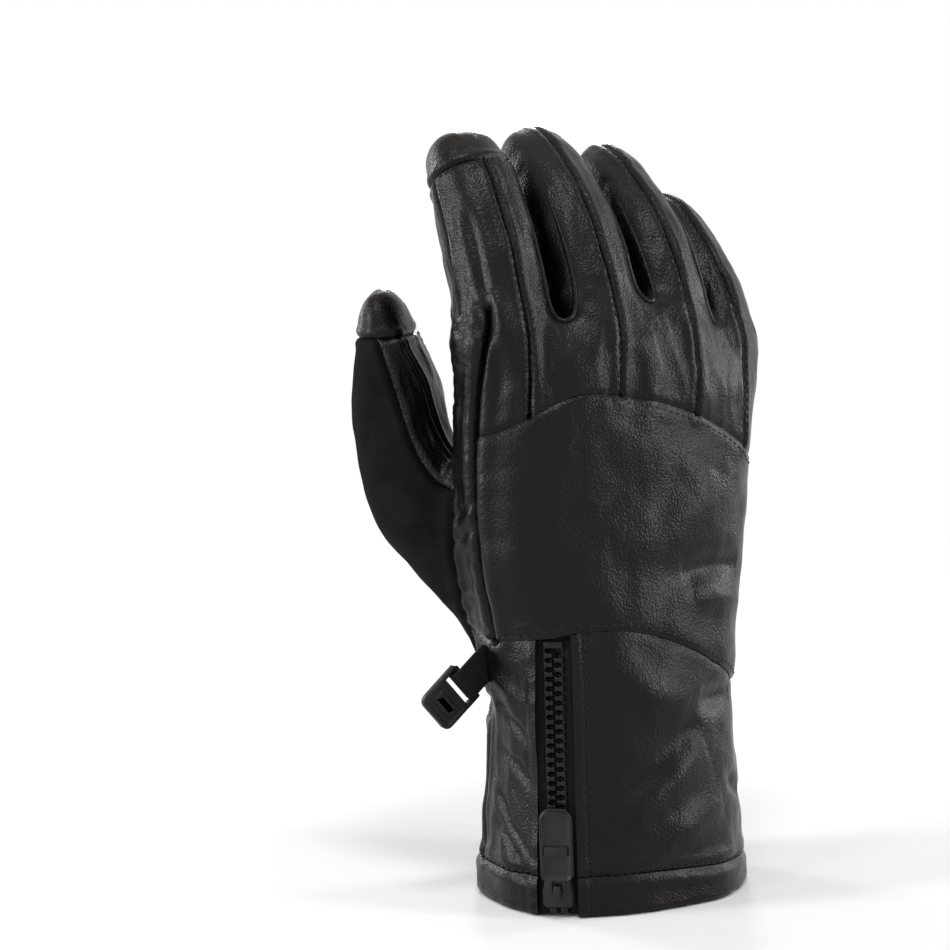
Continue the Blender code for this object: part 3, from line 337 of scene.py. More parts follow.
# Gathers of the wrist elastic across the palm.
GATHER_HEIGHT = 0.0625
GATHER_SPREAD = (0.011, 0.017)
GATHER_PITCH = 0.0072
GATHER_RISE = 0.0030
GATHER_PINCH = 0.0023
GATHER_BAND = 0.0040
GATHER_TURN = (0.05, 0.45)
GATHER_WANDER = 0.5
GATHER_WANDER_RATE = 60
GATHER_SHARPNESS = 0.7
GATHER_LEVEL = 0.65

# Slow unevenness of the hide: height and size of each kind.
UNEVENNESS = ((0.0012, 0.028), (0.00050, 0.011), (0.00016, 0.0050))

# Long wrinkles: height, breadth and length, their slant on the cuff, and the share of them that
# quieter panels show.
WRINKLES = ((0.0010, 0.0085, 0.034), (0.00045, 0.0042, 0.016))
WRINKLE_SLANT = 1.1
WRINKLE_LEVEL = 0.28
CALM_PANELS = {"back_overlay": 0.15, "cuff_back_panel": 0.2, "hem_band": 0.3, "thumb_suede": 0.3,
               "palm_suede_patch": 0.3, "thumb_tip_cap": 0.5, "index_tip_cap": 0.5}
FINGER_CALM = 0.5
SPREAD_STEPS = 6
CUFF_HEIGHT = 0.085

# The groove down the index finger's side, as height and width, and the side panel's fine creases.
INDEX_GROOVE = (-0.0016, 0.0022)
CREASE_HEIGHT = 0.00030
CREASE_SIZE = 0.0030
CREASE_STRETCH = 0.35
CREASE_SLANT = 0.5
CREASE_LEVEL = 0.6

# Stitches, and how far each kind of row lies from its seam.
STITCH_LENGTH = 0.0019
STITCH_PITCH = 0.0027
STITCH_THICKNESS = 0.00050
STITCH_RISE = 0.15
STITCH_INSET = {"seam": 0.0014, "lap": 0.0019, "hem": 0.0009, "opening": 0.0032}

# Rolled edges of the slits between the fingers, thinner over the last part of their length, and
# how many of a finger's rings they run along.
RIM_RADIUS = 0.00085
RIM_THINNING = 0.75
RIM_THINS = (0.55, 1.0)
RIM_ROWS = 4
RIM_ROUNDING = 10

# Where the leather starts and stops bending: shares of a finger's length, and distances from the
# middle of the hem along the thumb's slope.
FINGER_BEND = (0.16, 0.55)
THUMB_BEND = (0.141, 0.172)
THUMB_SLOPE = (0.6, 0.8)

# The camera, fitted to the photograph of this width.
PHOTO_WIDTH = 950
CAMERA_BEARING = -32.0
CAMERA_RISE = 16.0
CAMERA_DISTANCE = 1.5
CAMERA_AIM = (-0.0458, 0.1306)
CAMERA_LENS = 177.3
SENSOR_WIDTH = 36.0

# How far the leather's lips reach in over the zip's tape, and where that fades out.
LIP_REACH = 0.0012
LIP_FADE = 0.008
LIP_DEPTH = 0.01
LIP_END = 0.001

# The warm tint of the hide's shine, and the wave texture's scale for a thread one unit wide.
HIDE_GLOSS = (1.0, 0.95, 0.90, 1.0)
WAVES_PER_THREAD = 0.32

# Lamps: place, size and power; the point that they face; and the strength of the white world.
LAMPS = (
    ("left", (-1.30, 0.25, 0.45), (0.30, 0.9), 14.4),
    ("left front", (-1.25, -0.45, 0.45), (0.10, 0.8), 3.2),
    ("right", (0.95, -1.00, 0.45), (0.22, 0.9), 9.4),
    ("far right", (1.30, -0.15, 0.45), (0.20, 0.8), 5.8),
    ("top", (-0.25, -0.45, 1.45), (0.35, 0.28), 6.5),
    ("back right", (0.70, 1.20, 0.45), (0.20, 0.8), 7.9),
    ("back left", (-0.60, 1.25, 0.45), (0.20, 0.8), 7.2),
)
LAMP_AIM = (0, 0, 0.12)
WORLD_LEVEL = 0.28

# The floor, how far it lies below the hem, and the distances over which it turns white.
FLOOR_SIZE = 3.0
FLOOR_DROP = 0.0004
FLOOR_WHITENS = (0.10, 0.55)


def lerp(a, b, t):
    """The value a share t of the way from a to b."""
    return a + (b - a) * t


def smoothstep(low, high, values):
    """Nought up to low, one from high on, and an eased rise between them."""
    t = np.clip((values - low) / (high - low), 0.0, 1.0)
    return t * t * (3 - 2 * t)


# The hand's cage

def section(z):
    """The section's five sizes at height z, eased between the stations above."""
    for low, high in zip(SECTIONS, SECTIONS[1:]):
        if z <= high[0]:
            t = float(smoothstep(low[0], high[0], z))
            return [lerp(a, b, t) for a, b in zip(low[1:], high[1:])]
    return list(SECTIONS[-1][1:])


def web_height(webs, column):
    """Height of the finger bases on a column: webs at even columns, finger middles between."""
    if column % 2 == 0:
        return webs[column // 2]
    return (webs[column // 2] + webs[column // 2 + 1]) / 2 + WEB_RISE


def back_height(ring, column):
    """Height of a ring of the hand where it crosses a column of the back."""
    if ring < CUFF_RINGS:
        return PALM_HEIGHTS[ring] * OVERLAY_BOTTOM[column] / PALM_HEIGHTS[CUFF_RINGS]
    if ring <= OVERLAY_TOP_RING:
        share = OVERLAY_RINGS[ring - CUFF_RINGS]
        return lerp(OVERLAY_BOTTOM[column], OVERLAY_TOP[column], share)
    return (OVERLAY_TOP[column] + web_height(WEB_BACK, column)) / 2


def palm_height(ring, column):
    """Height of a ring of the hand where it crosses a column of the palm."""
    if ring < len(PALM_HEIGHTS):
        return PALM_HEIGHTS[ring]
    share = PALM_RINGS[ring - len(PALM_HEIGHTS)]
    return lerp(PALM_HEIGHTS[-1], web_height(WEB_PALM, column), share)


def hand_point(column, height, palm):
    """A point of the hand's cage on a back column, or on the palm column behind it."""
    half_width, back_depth, palm_depth, shift_x, shift_y = section(height)
    t = float(smoothstep(HAND_STARTS, HAND_WIDENED, height))
    share = lerp(CUFF_SHARES[column], KNUCKLE_SHARES[column], t)
    roundness = lerp(CUFF_ROUNDNESS, HAND_ROUNDNESS, t)
    reach = (1 - abs(share) ** roundness) ** (1 / roundness)
    y = palm_depth * reach if palm else -back_depth * reach
    return Vector((shift_x + half_width * share, shift_y + y, height))


def edge_point(side, turn, height):
    """A point on the side of the hand, turned towards the palm by a share of the palm's depth."""
    half_width, _, palm_depth, shift_x, shift_y = section(height)
    x = side * half_width * (1 - turn ** CUFF_ROUNDNESS) ** (1 / CUFF_ROUNDNESS)
    return Vector((shift_x + x, shift_y + turn * palm_depth, height))


def hand_ring(ring):
    """One ring of the hand below the fingers: back, little edge, palm, thumb edge."""
    backs = [hand_point(c, back_height(ring, c), False) for c in range(BACK_COLUMNS)]
    palms = [hand_point(c, palm_height(ring, c), True) for c in reversed(range(BACK_COLUMNS))]
    little = edge_point(1, LITTLE_EDGE_TURN, (backs[-1].z + palms[0].z) / 2)
    thumb = edge_point(-1, THUMB_EDGE_TURN, (backs[0].z + palms[-1].z) / 2)
    palms[-1] = edge_point(-1, PALM_EDGE_TURN, palms[-1].z)
    return backs + [little] + palms + [thumb]


def base_point(column, palm):
    """A point where the fingers leave the hand, on a back column or the palm column behind it."""
    numbers = [n for n in ((column - 1) // 2, column // 2) if 0 <= n < len(FINGER_NAMES)]
    depth = sum(FINGER_BASE_DEPTH[n] for n in numbers) / len(numbers)
    half = sum(FINGER_THICKNESS[n] for n in numbers) / len(numbers) / 2 * OCTAGON_SWELL
    webs = WEB_PALM if palm else WEB_BACK
    if column % 2:
        x = (FINGER_EDGES[column // 2] + FINGER_EDGES[column // 2 + 1]) / 2
    else:
        x = FINGER_EDGES[column // 2]
        half *= OCTAGON_CORNER
    return Vector((x, depth + half if palm else depth - half, web_height(webs, column)))


def base_ring():
    """The hand's last ring, where the fingers start."""
    backs = [base_point(c, False) for c in range(BACK_COLUMNS)]
    palms = [base_point(c, True) for c in reversed(range(BACK_COLUMNS))]
    swell = (OCTAGON_SWELL - OCTAGON_CORNER) * (FINGER_EDGES[1] - FINGER_EDGES[0]) / 4
    little = (backs[-1] + palms[0]) / 2 + Vector((swell, 0, 0))
    thumb = (backs[0] + palms[-1]) / 2 - Vector((swell, 0, 0))
    return backs + [little] + palms + [thumb]


# The digits' cages

def swelled(share):
    """A sine or cosine drawn out so that an octagon's corners reach OCTAGON_CORNER."""
    power = math.log(OCTAGON_CORNER) / math.log(math.sqrt(0.5))
    return math.copysign(abs(share) ** power, share)


def octagon(middle, across, outward, twist=0.0):
    """Eight cage points round a digit, from the first corner of its outer side, turned by a twist."""
    points = []
    for number in range(8):
        angle = math.radians(135 - 45 * number + twist)
        turned = across * swelled(math.cos(angle)) + outward * swelled(math.sin(angle))
        points.append(middle + turned * OCTAGON_SWELL)
    return points


def finger_axis(number, share):
    """Middle of a finger at a share of its length, and its lean there."""
    steps = 24
    base = [webs[n] for webs in (WEB_BACK, WEB_PALM) for n in (number, number + 1)]
    middle_x = (FINGER_EDGES[number] + FINGER_EDGES[number + 1]) / 2
    middle = Vector((middle_x, FINGER_BASE_DEPTH[number], sum(base) / len(base)))
    step = FINGER_LENGTHS[number] * share / steps
    for i in range(steps + 1):
        t = min((i + 0.5) / steps, 1.0) * share
        lean = math.radians(lerp(FINGER_BASE_LEAN[number], FINGER_TIP_LEAN[number], t))
        if i < steps:
            middle += Vector((0, math.sin(lean), math.cos(lean))) * step
    return middle, lean


def finger_rings(number):
    half_width = (FINGER_EDGES[number + 1] - FINGER_EDGES[number] - FINGER_GAP) / 2
    half_thickness = FINGER_THICKNESS[number] / 2
    rings = []
    for share, width, thickness in zip(FINGER_RINGS, FINGER_WIDTH_TAPER, FINGER_THICKNESS_TAPER):
        middle, lean = finger_axis(number, share)
        across = Vector((half_width * width, 0, 0))
        outward = Vector((0, -math.cos(lean), math.sin(lean))) * half_thickness * thickness
        rings.append(octagon(middle, across, outward))
    return rings


def thumb_rings():
    bearing = math.radians(THUMB_BEARING)
    out = Vector((math.cos(bearing), math.sin(bearing), 0))
    up = Vector((0, 0, 1))
    side = up.cross(out)
    rings = []
    for place, lean, half_width, half_thickness, twist in THUMB_PATH:
        lean = math.radians(lean)
        away = out * math.cos(lean) - up * math.sin(lean)
        rings.append(octagon(Vector(place), side * half_width, away * half_thickness, twist))
    return rings


# Panels of the skin

def panel_of_hand(row, column):
    """Panel of one face of the hand's cage, by its row and its first column."""
    on_back = column < LITTLE_EDGE
    if column == ZIP_COLUMN and row < CUFF_RINGS:
        return "zip_opening"
    if row == 0:
        return "hem_band"
    if row < CUFF_RINGS and column in (0, THUMB_EDGE):
        return "cuff_thumb_panel"
    if row < CUFF_RINGS and on_back:
        return "cuff_back_panel"
    if row < ELASTIC_ROW:
        return "cuff_palm_panel"
    if row == ELASTIC_ROW:
        return "wrist_elastic_casing"
    if on_back and row < OVERLAY_TOP_RING:
        return "back_overlay"
    if on_back:
        return "knuckle_strip_%d" % ((column + 1) // 2 + 1)
    if column == THUMB_EDGE or (column == THUMB_EDGE - 1 and row >= THUMB_ROWS[1]):
        return "thumb_side_panel"
    if column >= SUEDE_COLUMN and row < THUMB_ROWS[1]:
        return "palm_suede_patch"
    return "palm_panel"


def panel_of_finger_base(number, column):
    """Panel of one face of a finger's first row, which belongs to the hand and holds the webs."""
    if number == 0 and column in (6, 7):
        return "thumb_side_panel"
    if column in (0, 7):
        return "knuckle_strip_%d" % (number + 1)
    if column in (1, 2):
        return "knuckle_strip_%d" % (number + 2)
    return "palm_panel"


def panel_of_finger(number, row, column):
    """Panel of one face of a finger; the last rows wrap over the tip."""
    name = FINGER_NAMES[number]
    tip = row >= len(FINGER_RINGS) - 1
    if row == 0:
        return panel_of_finger_base(number, column)
    if tip and name == "index":
        return "index_tip_cap"
    if column in (0, 7) or (tip and column in (5, 6)):
        return name + "_back_left"
    if column in (1, 2) or tip:
        return name + "_back_right"
    return name + "_palm"


def panel_of_thumb(row, column):
    if row >= len(THUMB_PATH) - 1:
        return "thumb_tip_cap"
    return "thumb_leather" if column in (4, 5, 6) else "thumb_suede"


class Cage:
    """Control points and four-sided faces of the whole skin, each with its panel, body and place."""

    def __init__(self):
        self.points = []
        self.faces = []
        self.panels = []
        self.bodies = []
        self.places = []
        self.rings = []
        self.hand_faces = 0
        self.finger_loops = []
        self.thumb_loops = []

    def add(self, points):
        first = len(self.points)
        self.points.extend(points)
        return list(range(first, len(self.points)))

    def face(self, corners, panel, body, place):
        self.faces.append(corners)
        self.panels.append(PANELS.index(panel))
        self.bodies.append(body)
        self.places.append(place)

    def tube(self, base, rings, tip, bodies, panel_at):
        """Rings of eight from a base ring to a tip closed by four faces; the first row has its own body."""
        loops = [base] + [self.add(ring) for ring in rings]
        for row, (low, high) in enumerate(zip(loops, loops[1:])):
            for i in range(8):
                j = (i + 1) % 8
                corners = (low[i], low[j], high[j], high[i])
                self.face(corners, panel_at(row, i), bodies[min(row, 1)], (row, i))
        last = loops[-1]
        centre = self.add([tip])[0]
        for i in (1, 3, 5, 7):
            corners = (last[i], last[i + 1 - 8], last[i + 2 - 8], centre)
            self.face(corners, panel_at(len(rings), i), bodies[1], (len(rings), i))
        return loops


def straighten_zip(cage):
    """Draw the two columns beside the zip straight from the hem to the overlay."""
    for column in (ZIP_COLUMN, ZIP_COLUMN + 1):
        low = cage.points[cage.rings[0][column]].copy()
        high = cage.points[cage.rings[CUFF_RINGS][column]].copy()
        for ring in range(1, CUFF_RINGS):
            index = cage.rings[ring][column]
            cage.points[index] = low.lerp(high, cage.points[index].z / high.z)


def zip_edges(cage):
    """The cage edges beside the zip, which stay sharp when the skin is smoothed."""
    for column in (ZIP_COLUMN, ZIP_COLUMN + 1):
        for ring in range(CUFF_RINGS):
            yield cage.rings[ring][column], cage.rings[ring + 1][column]


def build_cage():
    cage = Cage()
    cage.rings = [cage.add(hand_ring(ring)) for ring in range(HAND_RINGS)]
    cage.rings.append(cage.add(base_ring()))
    straighten_zip(cage)
    for row, (low, high) in enumerate(zip(cage.rings, cage.rings[1:])):
        for i in range(RING_COLUMNS):
            if row in range(*THUMB_ROWS) and i in range(*THUMB_COLUMNS):
                continue
            j = (i + 1) % RING_COLUMNS
            cage.face((low[i], low[j], high[j], high[i]), panel_of_hand(row, i), "hand", (row, i))
    cage.hand_faces = len(cage.faces)
    add_fingers(cage)
    add_thumb(cage)
    return cage


def add_fingers(cage):
    top = cage.rings[-1]
    last = 2 * LITTLE_EDGE
    webs = []
    for n in range(1, len(FINGER_NAMES)):
        middle = (cage.points[top[2 * n]] + cage.points[top[last - 2 * n]]) / 2
        webs.append(cage.add([middle - Vector((0, 0, WEB_SINK))])[0])
    sides = [top[THUMB_EDGE]] + webs + [top[LITTLE_EDGE]]
    for n, name in enumerate(FINGER_NAMES):
        back = top[2 * n:2 * n + 3]
        palm = top[last - 2 * n - 2:last - 2 * n + 1]
        base = back + [sides[n + 1]] + palm + [sides[n]]
        tip = finger_axis(n, 1.0)[0]
        loops = cage.tube(base, finger_rings(n), tip, ("hand", name),
                          lambda row, column, n=n: panel_of_finger(n, row, column))
        cage.finger_loops.append(loops)


def add_thumb(cage):
    low, middle, high = (cage.rings[r] for r in range(THUMB_ROWS[0], THUMB_ROWS[1] + 1))
    first, last = THUMB_COLUMNS
    base = low[first:last + 1] + [middle[last]] + high[first:last + 1][::-1] + [middle[first]]
    bodies = ("thumb", "thumb")
    cage.thumb_loops = cage.tube(base, thumb_rings(), Vector(THUMB_TIP), bodies, panel_of_thumb)


# The smooth skin and its relief

def vertex_normals(points, faces):
    """Outward normals of a mesh of four-sided faces."""
    corners = points[faces]
    normals = np.cross(corners[:, 2] - corners[:, 0], corners[:, 3] - corners[:, 1])
    total = np.zeros_like(points)
    for i in range(4):
        np.add.at(total, faces[:, i], normals)
    return total / np.maximum(np.linalg.norm(total, axis=1, keepdims=True), 1e-12)


class Skin:
    """The cage smoothed to its limit, as arrays: points, normals, faces and each face's cage face."""

    def __init__(self, cage, levels):
        mesh = bpy.data.meshes.new("skin")
        mesh.from_pydata(cage.points, [], cage.faces)
        mesh.polygons.foreach_set("material_index", list(range(len(cage.faces))))
        sharp = {frozenset(pair) for pair in zip_edges(cage)}
        crease = mesh.attributes.new("crease_edge", "FLOAT", "EDGE")
        for edge in mesh.edges:
            crease.data[edge.index].value = 1.0 if frozenset(edge.vertices) in sharp else 0.0
        item = bpy.data.objects.new("skin", mesh)
        bpy.context.scene.collection.objects.link(item)
        smoothing = item.modifiers.new("smoothing", "SUBSURF")
        smoothing.levels = smoothing.render_levels = levels
        smooth = item.evaluated_get(bpy.context.evaluated_depsgraph_get()).to_mesh()
        points = np.zeros(len(smooth.vertices) * 3)
        smooth.vertices.foreach_get("co", points)
        corners = np.zeros(len(smooth.loops), dtype=np.int32)
        smooth.loops.foreach_get("vertex_index", corners)
        owners = np.zeros(len(smooth.polygons), dtype=np.int32)
        smooth.polygons.foreach_get("material_index", owners)
        bpy.data.objects.remove(item)
        self.points = points.reshape(-1, 3)
        self.faces = corners.reshape(-1, 4)
        self.owners = owners
        self.panels = np.array(cage.panels)[owners]
        self.cage = cage
        self.normals = vertex_normals(self.points, self.faces)
        self.lines = None

    def move(self, shift):
        self.points = self.points + np.array(shift)

    def shared_edges(self):
        """Every edge with a face on both sides: its two points and its two faces."""
        first = self.faces.ravel()
        second = np.roll(self.faces, -1, axis=1).ravel()
        low, high = np.minimum(first, second), np.maximum(first, second)
        face = np.repeat(np.arange(len(self.faces)), 4)
        order = np.lexsort((high, low))
        low, high, face = low[order], high[order], face[order]
        same = (low[1:] == low[:-1]) & (high[1:] == high[:-1])
        return low[1:][same], high[1:][same], face[:-1][same], face[1:][same]

    def find_lines(self):
        """The fine edges along each cage edge, by the pair of cage faces beside it."""
        self.lines = {}
        low, high, left, right = self.shared_edges()
        left, right = self.owners[left], self.owners[right]
        for i in np.flatnonzero(left != right):
            key = (min(left[i], right[i]), max(left[i], right[i]))
            self.lines.setdefault(key, []).append((int(low[i]), int(high[i])))

    def line(self, chain):
        """The fine points in order along a chain of cage points."""
        around = {}
        for number, face in enumerate(self.cage.faces):
            for corner in face:
                around.setdefault(corner, set()).add(number)
        path = [chain[0]]
        for a, b in zip(chain, chain[1:]):
            pair = tuple(sorted(around[a] & around[b]))
            steps = {}
            for low, high in self.lines[pair]:
                steps.setdefault(low, []).append(high)
                steps.setdefault(high, []).append(low)
            before, here = None, a
            while here != b:
                onward = next(i for i in steps[here] if i != before)
                before, here = here, onward
                path.append(here)
        return path


def seam_style(first, second):
    """How two neighbouring panels meet."""
    pair = {first, second}
    fingers = {name for name in pair if name.split("_")[0] in FINGER_NAMES}
    if "zip_opening" in pair:
        return "opening"
    if "thumb_side_panel" in pair:
        if pair & {"back_overlay", "knuckle_strip_1"}:
            return "gutter"
        return "flush" if fingers else "seam"
    if "back_overlay" in pair:
        return "lap"
    if "hem_band" in pair:
        return "hem"
    if "wrist_elastic_casing" in pair:
        return "elastic"
    if pair == {"thumb_suede", "palm_suede_patch"}:
        return "flush"
    if len(fingers) == 2:
        outer_sides = ({"index_back_left", "index_palm"}, {"little_back_right", "little_palm"})
        sides = "index_tip_cap" in pair or not any(name.endswith("_palm") for name in pair)
        return "seam" if sides or pair in outer_sides else "flush"
    if fingers:
        return "seam" if "index_palm" in pair else "flush"
    if "palm_panel" in pair and pair & {"knuckle_strip_2", "knuckle_strip_3", "knuckle_strip_4"}:
        return "flush"
    return "seam"


def search_tree(points):
    """A tree that finds the nearest of these points."""
    tree = kdtree.KDTree(len(points))
    for i, point in enumerate(points):
        tree.insert(point, i)
    tree.balance()
    return tree


def close_by(points, samples, reach):
    """Numbers of the points inside the samples' box, widened by a reach."""
    places = np.array(samples)
    low, high = places.min(0) - reach, places.max(0) + reach
    return np.flatnonzero(np.all((points > low) & (points < high), axis=1))


def distance_to(points, samples, reach):
    """Distance of each point to the nearest sample, and a large value out of reach."""
    tree = search_tree(samples)
    result = np.full(len(points), 10 * reach)
    for i in close_by(points, samples, reach):
        result[i] = tree.find(points[i])[2]
    return result


def swells(shapes, distance):
    """Sum of soft ridges, each with its height, its place and its width."""
    return sum(height * np.exp(-((distance - place) / width) ** 2) for height, place, width in shapes)


class Relief:
    """Height of the leather over the smooth skin, built up from seams, folds and gathers."""

    def __init__(self, skin):
        self.skin = skin
        self.height = np.zeros(len(skin.points))
        self.flush = np.zeros(len(skin.points), dtype=bool)
        self.edge_distance = {}

    def add_seams(self):
        skin = self.skin
        low, high, left, right = skin.shared_edges()
        left, right = skin.panels[left], skin.panels[right]
        seams = {}
        for i in np.flatnonzero(left != right):
            style = seam_style(PANELS[left[i]], PANELS[right[i]])
            seams.setdefault(style, []).append((low[i], high[i]))
        for pair in seams.pop("flush"):
            self.flush[list(pair)] = True
        for style, pairs in seams.items():
            ends = np.array(pairs)
            self.flush[ends.ravel()] = False
            self.add_line(style, ends)

    def add_line(self, style, ends):
        """Relief of one kind along fine edges given by their two points."""
        first, second = self.skin.points[ends[:, 0]], self.skin.points[ends[:, 1]]
        samples = np.concatenate([first + (second - first) * t for t in (0.0, 0.25, 0.5, 0.75)])
        distance = distance_to(self.skin.points, samples, SEAM_REACH)
        self.edge_distance[style] = np.minimum(distance, self.edge_distance.get(style, distance))
        self.height += swells(SEAM_RELIEF[style], distance)

    def add_chain(self, style, chain):
        path = self.skin.line(chain)
        self.add_line(style, np.array(list(zip(path, path[1:]))))

    def add_ridge(self, samples, height, width):
        """Raise the skin along a row of points, fading out at its two ends."""
        points = self.skin.points
        tree = search_tree(samples)
        for i in close_by(points, samples, 3 * width):
            _, number, distance = tree.find(points[i])
            fade = math.sin(math.pi * (number + 0.5) / len(samples)) ** 0.5
            self.height[i] += height * fade * math.exp(-(distance / width) ** 2)

    def add_folds(self, eye, middle_x):
        """Folds traced in the photograph and on the palm, laid on the skin."""
        tree = BVHTree.FromPolygons(self.skin.points.tolist(), self.skin.faces.tolist())
        for height, width, pixels in FOLDS:
            hits = [tree.ray_cast(eye.place, eye.ray(*pixel))[0] for pixel in walk(pixels, 1.5)]
            self.add_ridge([hit for hit in hits if hit], height, width)
        for height, width, places in PALM_FOLDS:
            hits = []
            for x, z in walk(places, 0.001):
                hits.append(tree.ray_cast(Vector((x + middle_x, 0.2, z)), Vector((0, -1, 0)))[0])
            self.add_ridge([hit for hit in hits if hit], height, width)

    def add_gathers(self, middle_x):
        """The palm's leather bunched up by the wrist elastic."""
        points, normals = self.skin.points, self.skin.normals
        palm = smoothstep(*GATHER_TURN, normals[:, 1])
        above = points[:, 2] - GATHER_HEIGHT
        spread = np.where(above > 0, GATHER_SPREAD[1], GATHER_SPREAD[0])
        wander = np.array([noise.noise(Vector(p) * GATHER_WANDER_RATE) for p in points])
        phase = (points[:, 0] - middle_x) / GATHER_PITCH + GATHER_WANDER * wander
        puff = np.abs(np.sin(math.pi * phase)) ** GATHER_SHARPNESS - GATHER_LEVEL
        self.height += palm * GATHER_RISE * puff * np.exp(-(above / spread) ** 2)
        self.height -= palm * GATHER_PINCH * np.exp(-(above / GATHER_BAND) ** 2)

    def add_unevenness(self):
        points = [Vector(p) for p in self.skin.points]
        for height, size in UNEVENNESS:
            self.height += height * np.array([noise.noise(p / size) for p in points])

    def add_wrinkles(self):
        """Sharp-edged wrinkles that run up the glove, slanting across the cuff."""
        share = np.ones(len(self.skin.points))
        for number, panel in enumerate(PANELS):
            calm = CALM_PANELS.get(panel, FINGER_CALM if "_back_" in panel else 1.0)
            share[np.unique(self.skin.faces[self.skin.panels == number])] = calm
        share = self.spread_out(share)
        for height, breadth, length in WRINKLES:
            for i, (x, y, z) in enumerate(self.skin.points):
                slant = WRINKLE_SLANT * max(0.0, 1 - z / CUFF_HEIGHT)
                place = Vector(((x + slant * z) / breadth, y / breadth, (z - slant * x) / length))
                self.height[i] += share[i] * height * (WRINKLE_LEVEL - abs(noise.noise(place)))

    def spread_out(self, values):
        """Values of points evened out with their neighbours' a few times."""
        faces = self.skin.faces
        for _ in range(SPREAD_STEPS):
            total = np.zeros(len(values))
            count = np.zeros(len(values))
            mean = values[faces].mean(1)
            for i in range(4):
                np.add.at(total, faces[:, i], mean)
                np.add.at(count, faces[:, i], 1)
            values = total / np.maximum(count, 1)
        return values

    def add_creases(self, panel):
        """Fine wrinkles across the narrow side panel."""
        skin = self.skin
        for i in np.unique(skin.faces[skin.panels == PANELS.index(panel)]):
            x, y, z = skin.points[i]
            place = Vector((x * CREASE_STRETCH, y * CREASE_STRETCH, z + CREASE_SLANT * x)) / CREASE_SIZE
            self.height[i] += CREASE_HEIGHT * (1 - 2 * abs(noise.noise(place)) - CREASE_LEVEL)

    def round_hem(self):
        """Turn the hem's edge in."""
        height = self.skin.points[:, 2]
        self.height -= HEM_ROUND / 2 * (1 - smoothstep(0.0, HEM_ROUND, height))


def walk(corners, step):
    """Evenly spaced places along a line of corners."""
    places = []
    for a, b in zip(corners, corners[1:]):
        count = max(int(math.dist(a, b) / step), 1)
        places += [tuple(lerp(u, v, i / count) for u, v in zip(a, b)) for i in range(count)]
    return places + [corners[-1]]


class Eye:
    """The camera's place and the ray through each pixel of the photograph."""

    def __init__(self, foot):
        bearing, rise = math.radians(CAMERA_BEARING), math.radians(CAMERA_RISE)
        level = math.cos(rise)
        back = Vector((math.sin(bearing) * level, -math.cos(bearing) * level, math.sin(rise)))
        right = Vector((math.cos(bearing), math.sin(bearing), 0))
        up = back.cross(right)
        self.place = foot + back * CAMERA_DISTANCE
        self.aim = foot + right * CAMERA_AIM[0] + up * CAMERA_AIM[1]
        self.forward = (self.aim - self.place).normalized()
        self.right = self.forward.cross(Vector((0, 0, 1))).normalized()
        self.up = self.right.cross(self.forward)
        self.focal = CAMERA_LENS / SENSOR_WIDTH * PHOTO_WIDTH

    def ray(self, x, y):
        half = PHOTO_WIDTH / 2
        return (self.forward * self.focal + self.right * (x - half) + self.up * (half - y)).normalized()


# Pieces cut from the skin

def add_piece(name, mesh, finish):
    """A new object at the origin, with its place in its mesh."""
    mesh.materials.append(finish)
    piece = bpy.data.objects.new(name, mesh)
    bpy.context.scene.collection.objects.link(piece)
    return piece


class Digit:
    """A finger or the thumb: its body and where its leather starts and stops bending."""

    def __init__(self, body, start, end):
        self.body = body
        self.start = start
        self.end = end

    def carry(self, piece):
        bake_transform(piece)


def make_digits(shift):
    digits = {}
    for number, name in enumerate(FINGER_NAMES):
        start, end = (finger_axis(number, share)[0] + shift for share in FINGER_BEND)
        digits[name] = Digit(name + "_finger", start, end)
    bearing = math.radians(THUMB_BEARING)
    out, up = THUMB_SLOPE
    along = Vector((math.cos(bearing) * out, math.sin(bearing) * out, up))
    digits["thumb"] = Digit("thumb", along * THUMB_BEND[0] + shift, along * THUMB_BEND[1] + shift)
    return digits


def carry(piece, body, digits):
    """Ride on the hand; a digit's piece only has its place baked into its mesh."""
    if body == "hand":
        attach(piece, "hand")
    else:
        digits[body].carry(piece)


def outline_edges(faces):
    """Directed edges that only one face of a patch uses."""
    edges = {(int(a), int(b)) for face in faces for a, b in zip(face, np.roll(face, -1))}
    return [edge for edge in sorted(edges) if edge[::-1] not in edges]


def shell_mesh(name, faces, outer, inner, outer_normals):
    """A closed shell from a patch's outer and inner points, with its own shading normals outside."""
    used = np.unique(faces)
    number = np.zeros(used[-1] + 1, dtype=np.int64)
    number[used] = np.arange(len(used))
    patch = number[faces]
    count = len(used)
    walls = np.array([(b, a, a + count, b + count) for a, b in outline_edges(patch)])
    every = np.concatenate([patch, patch[:, ::-1] + count, walls])
    points = np.concatenate([outer[used], inner[used]])
    mesh = bpy.data.meshes.new(name)
    mesh.from_pydata(points.tolist(), [], every.tolist())
    mesh.shade_smooth()
    normals = outer_normals[used]
    corners = points[walls]
    flat = np.cross(corners[:, 2] - corners[:, 0], corners[:, 3] - corners[:, 1])
    flat /= np.maximum(np.linalg.norm(flat, axis=1, keepdims=True), 1e-12)
    loops = np.concatenate([normals[patch].reshape(-1, 3), -normals[patch[:, ::-1]].reshape(-1, 3),
                            np.repeat(flat, 4, axis=0)])
    mesh.normals_split_custom_set(loops.tolist())
    return mesh


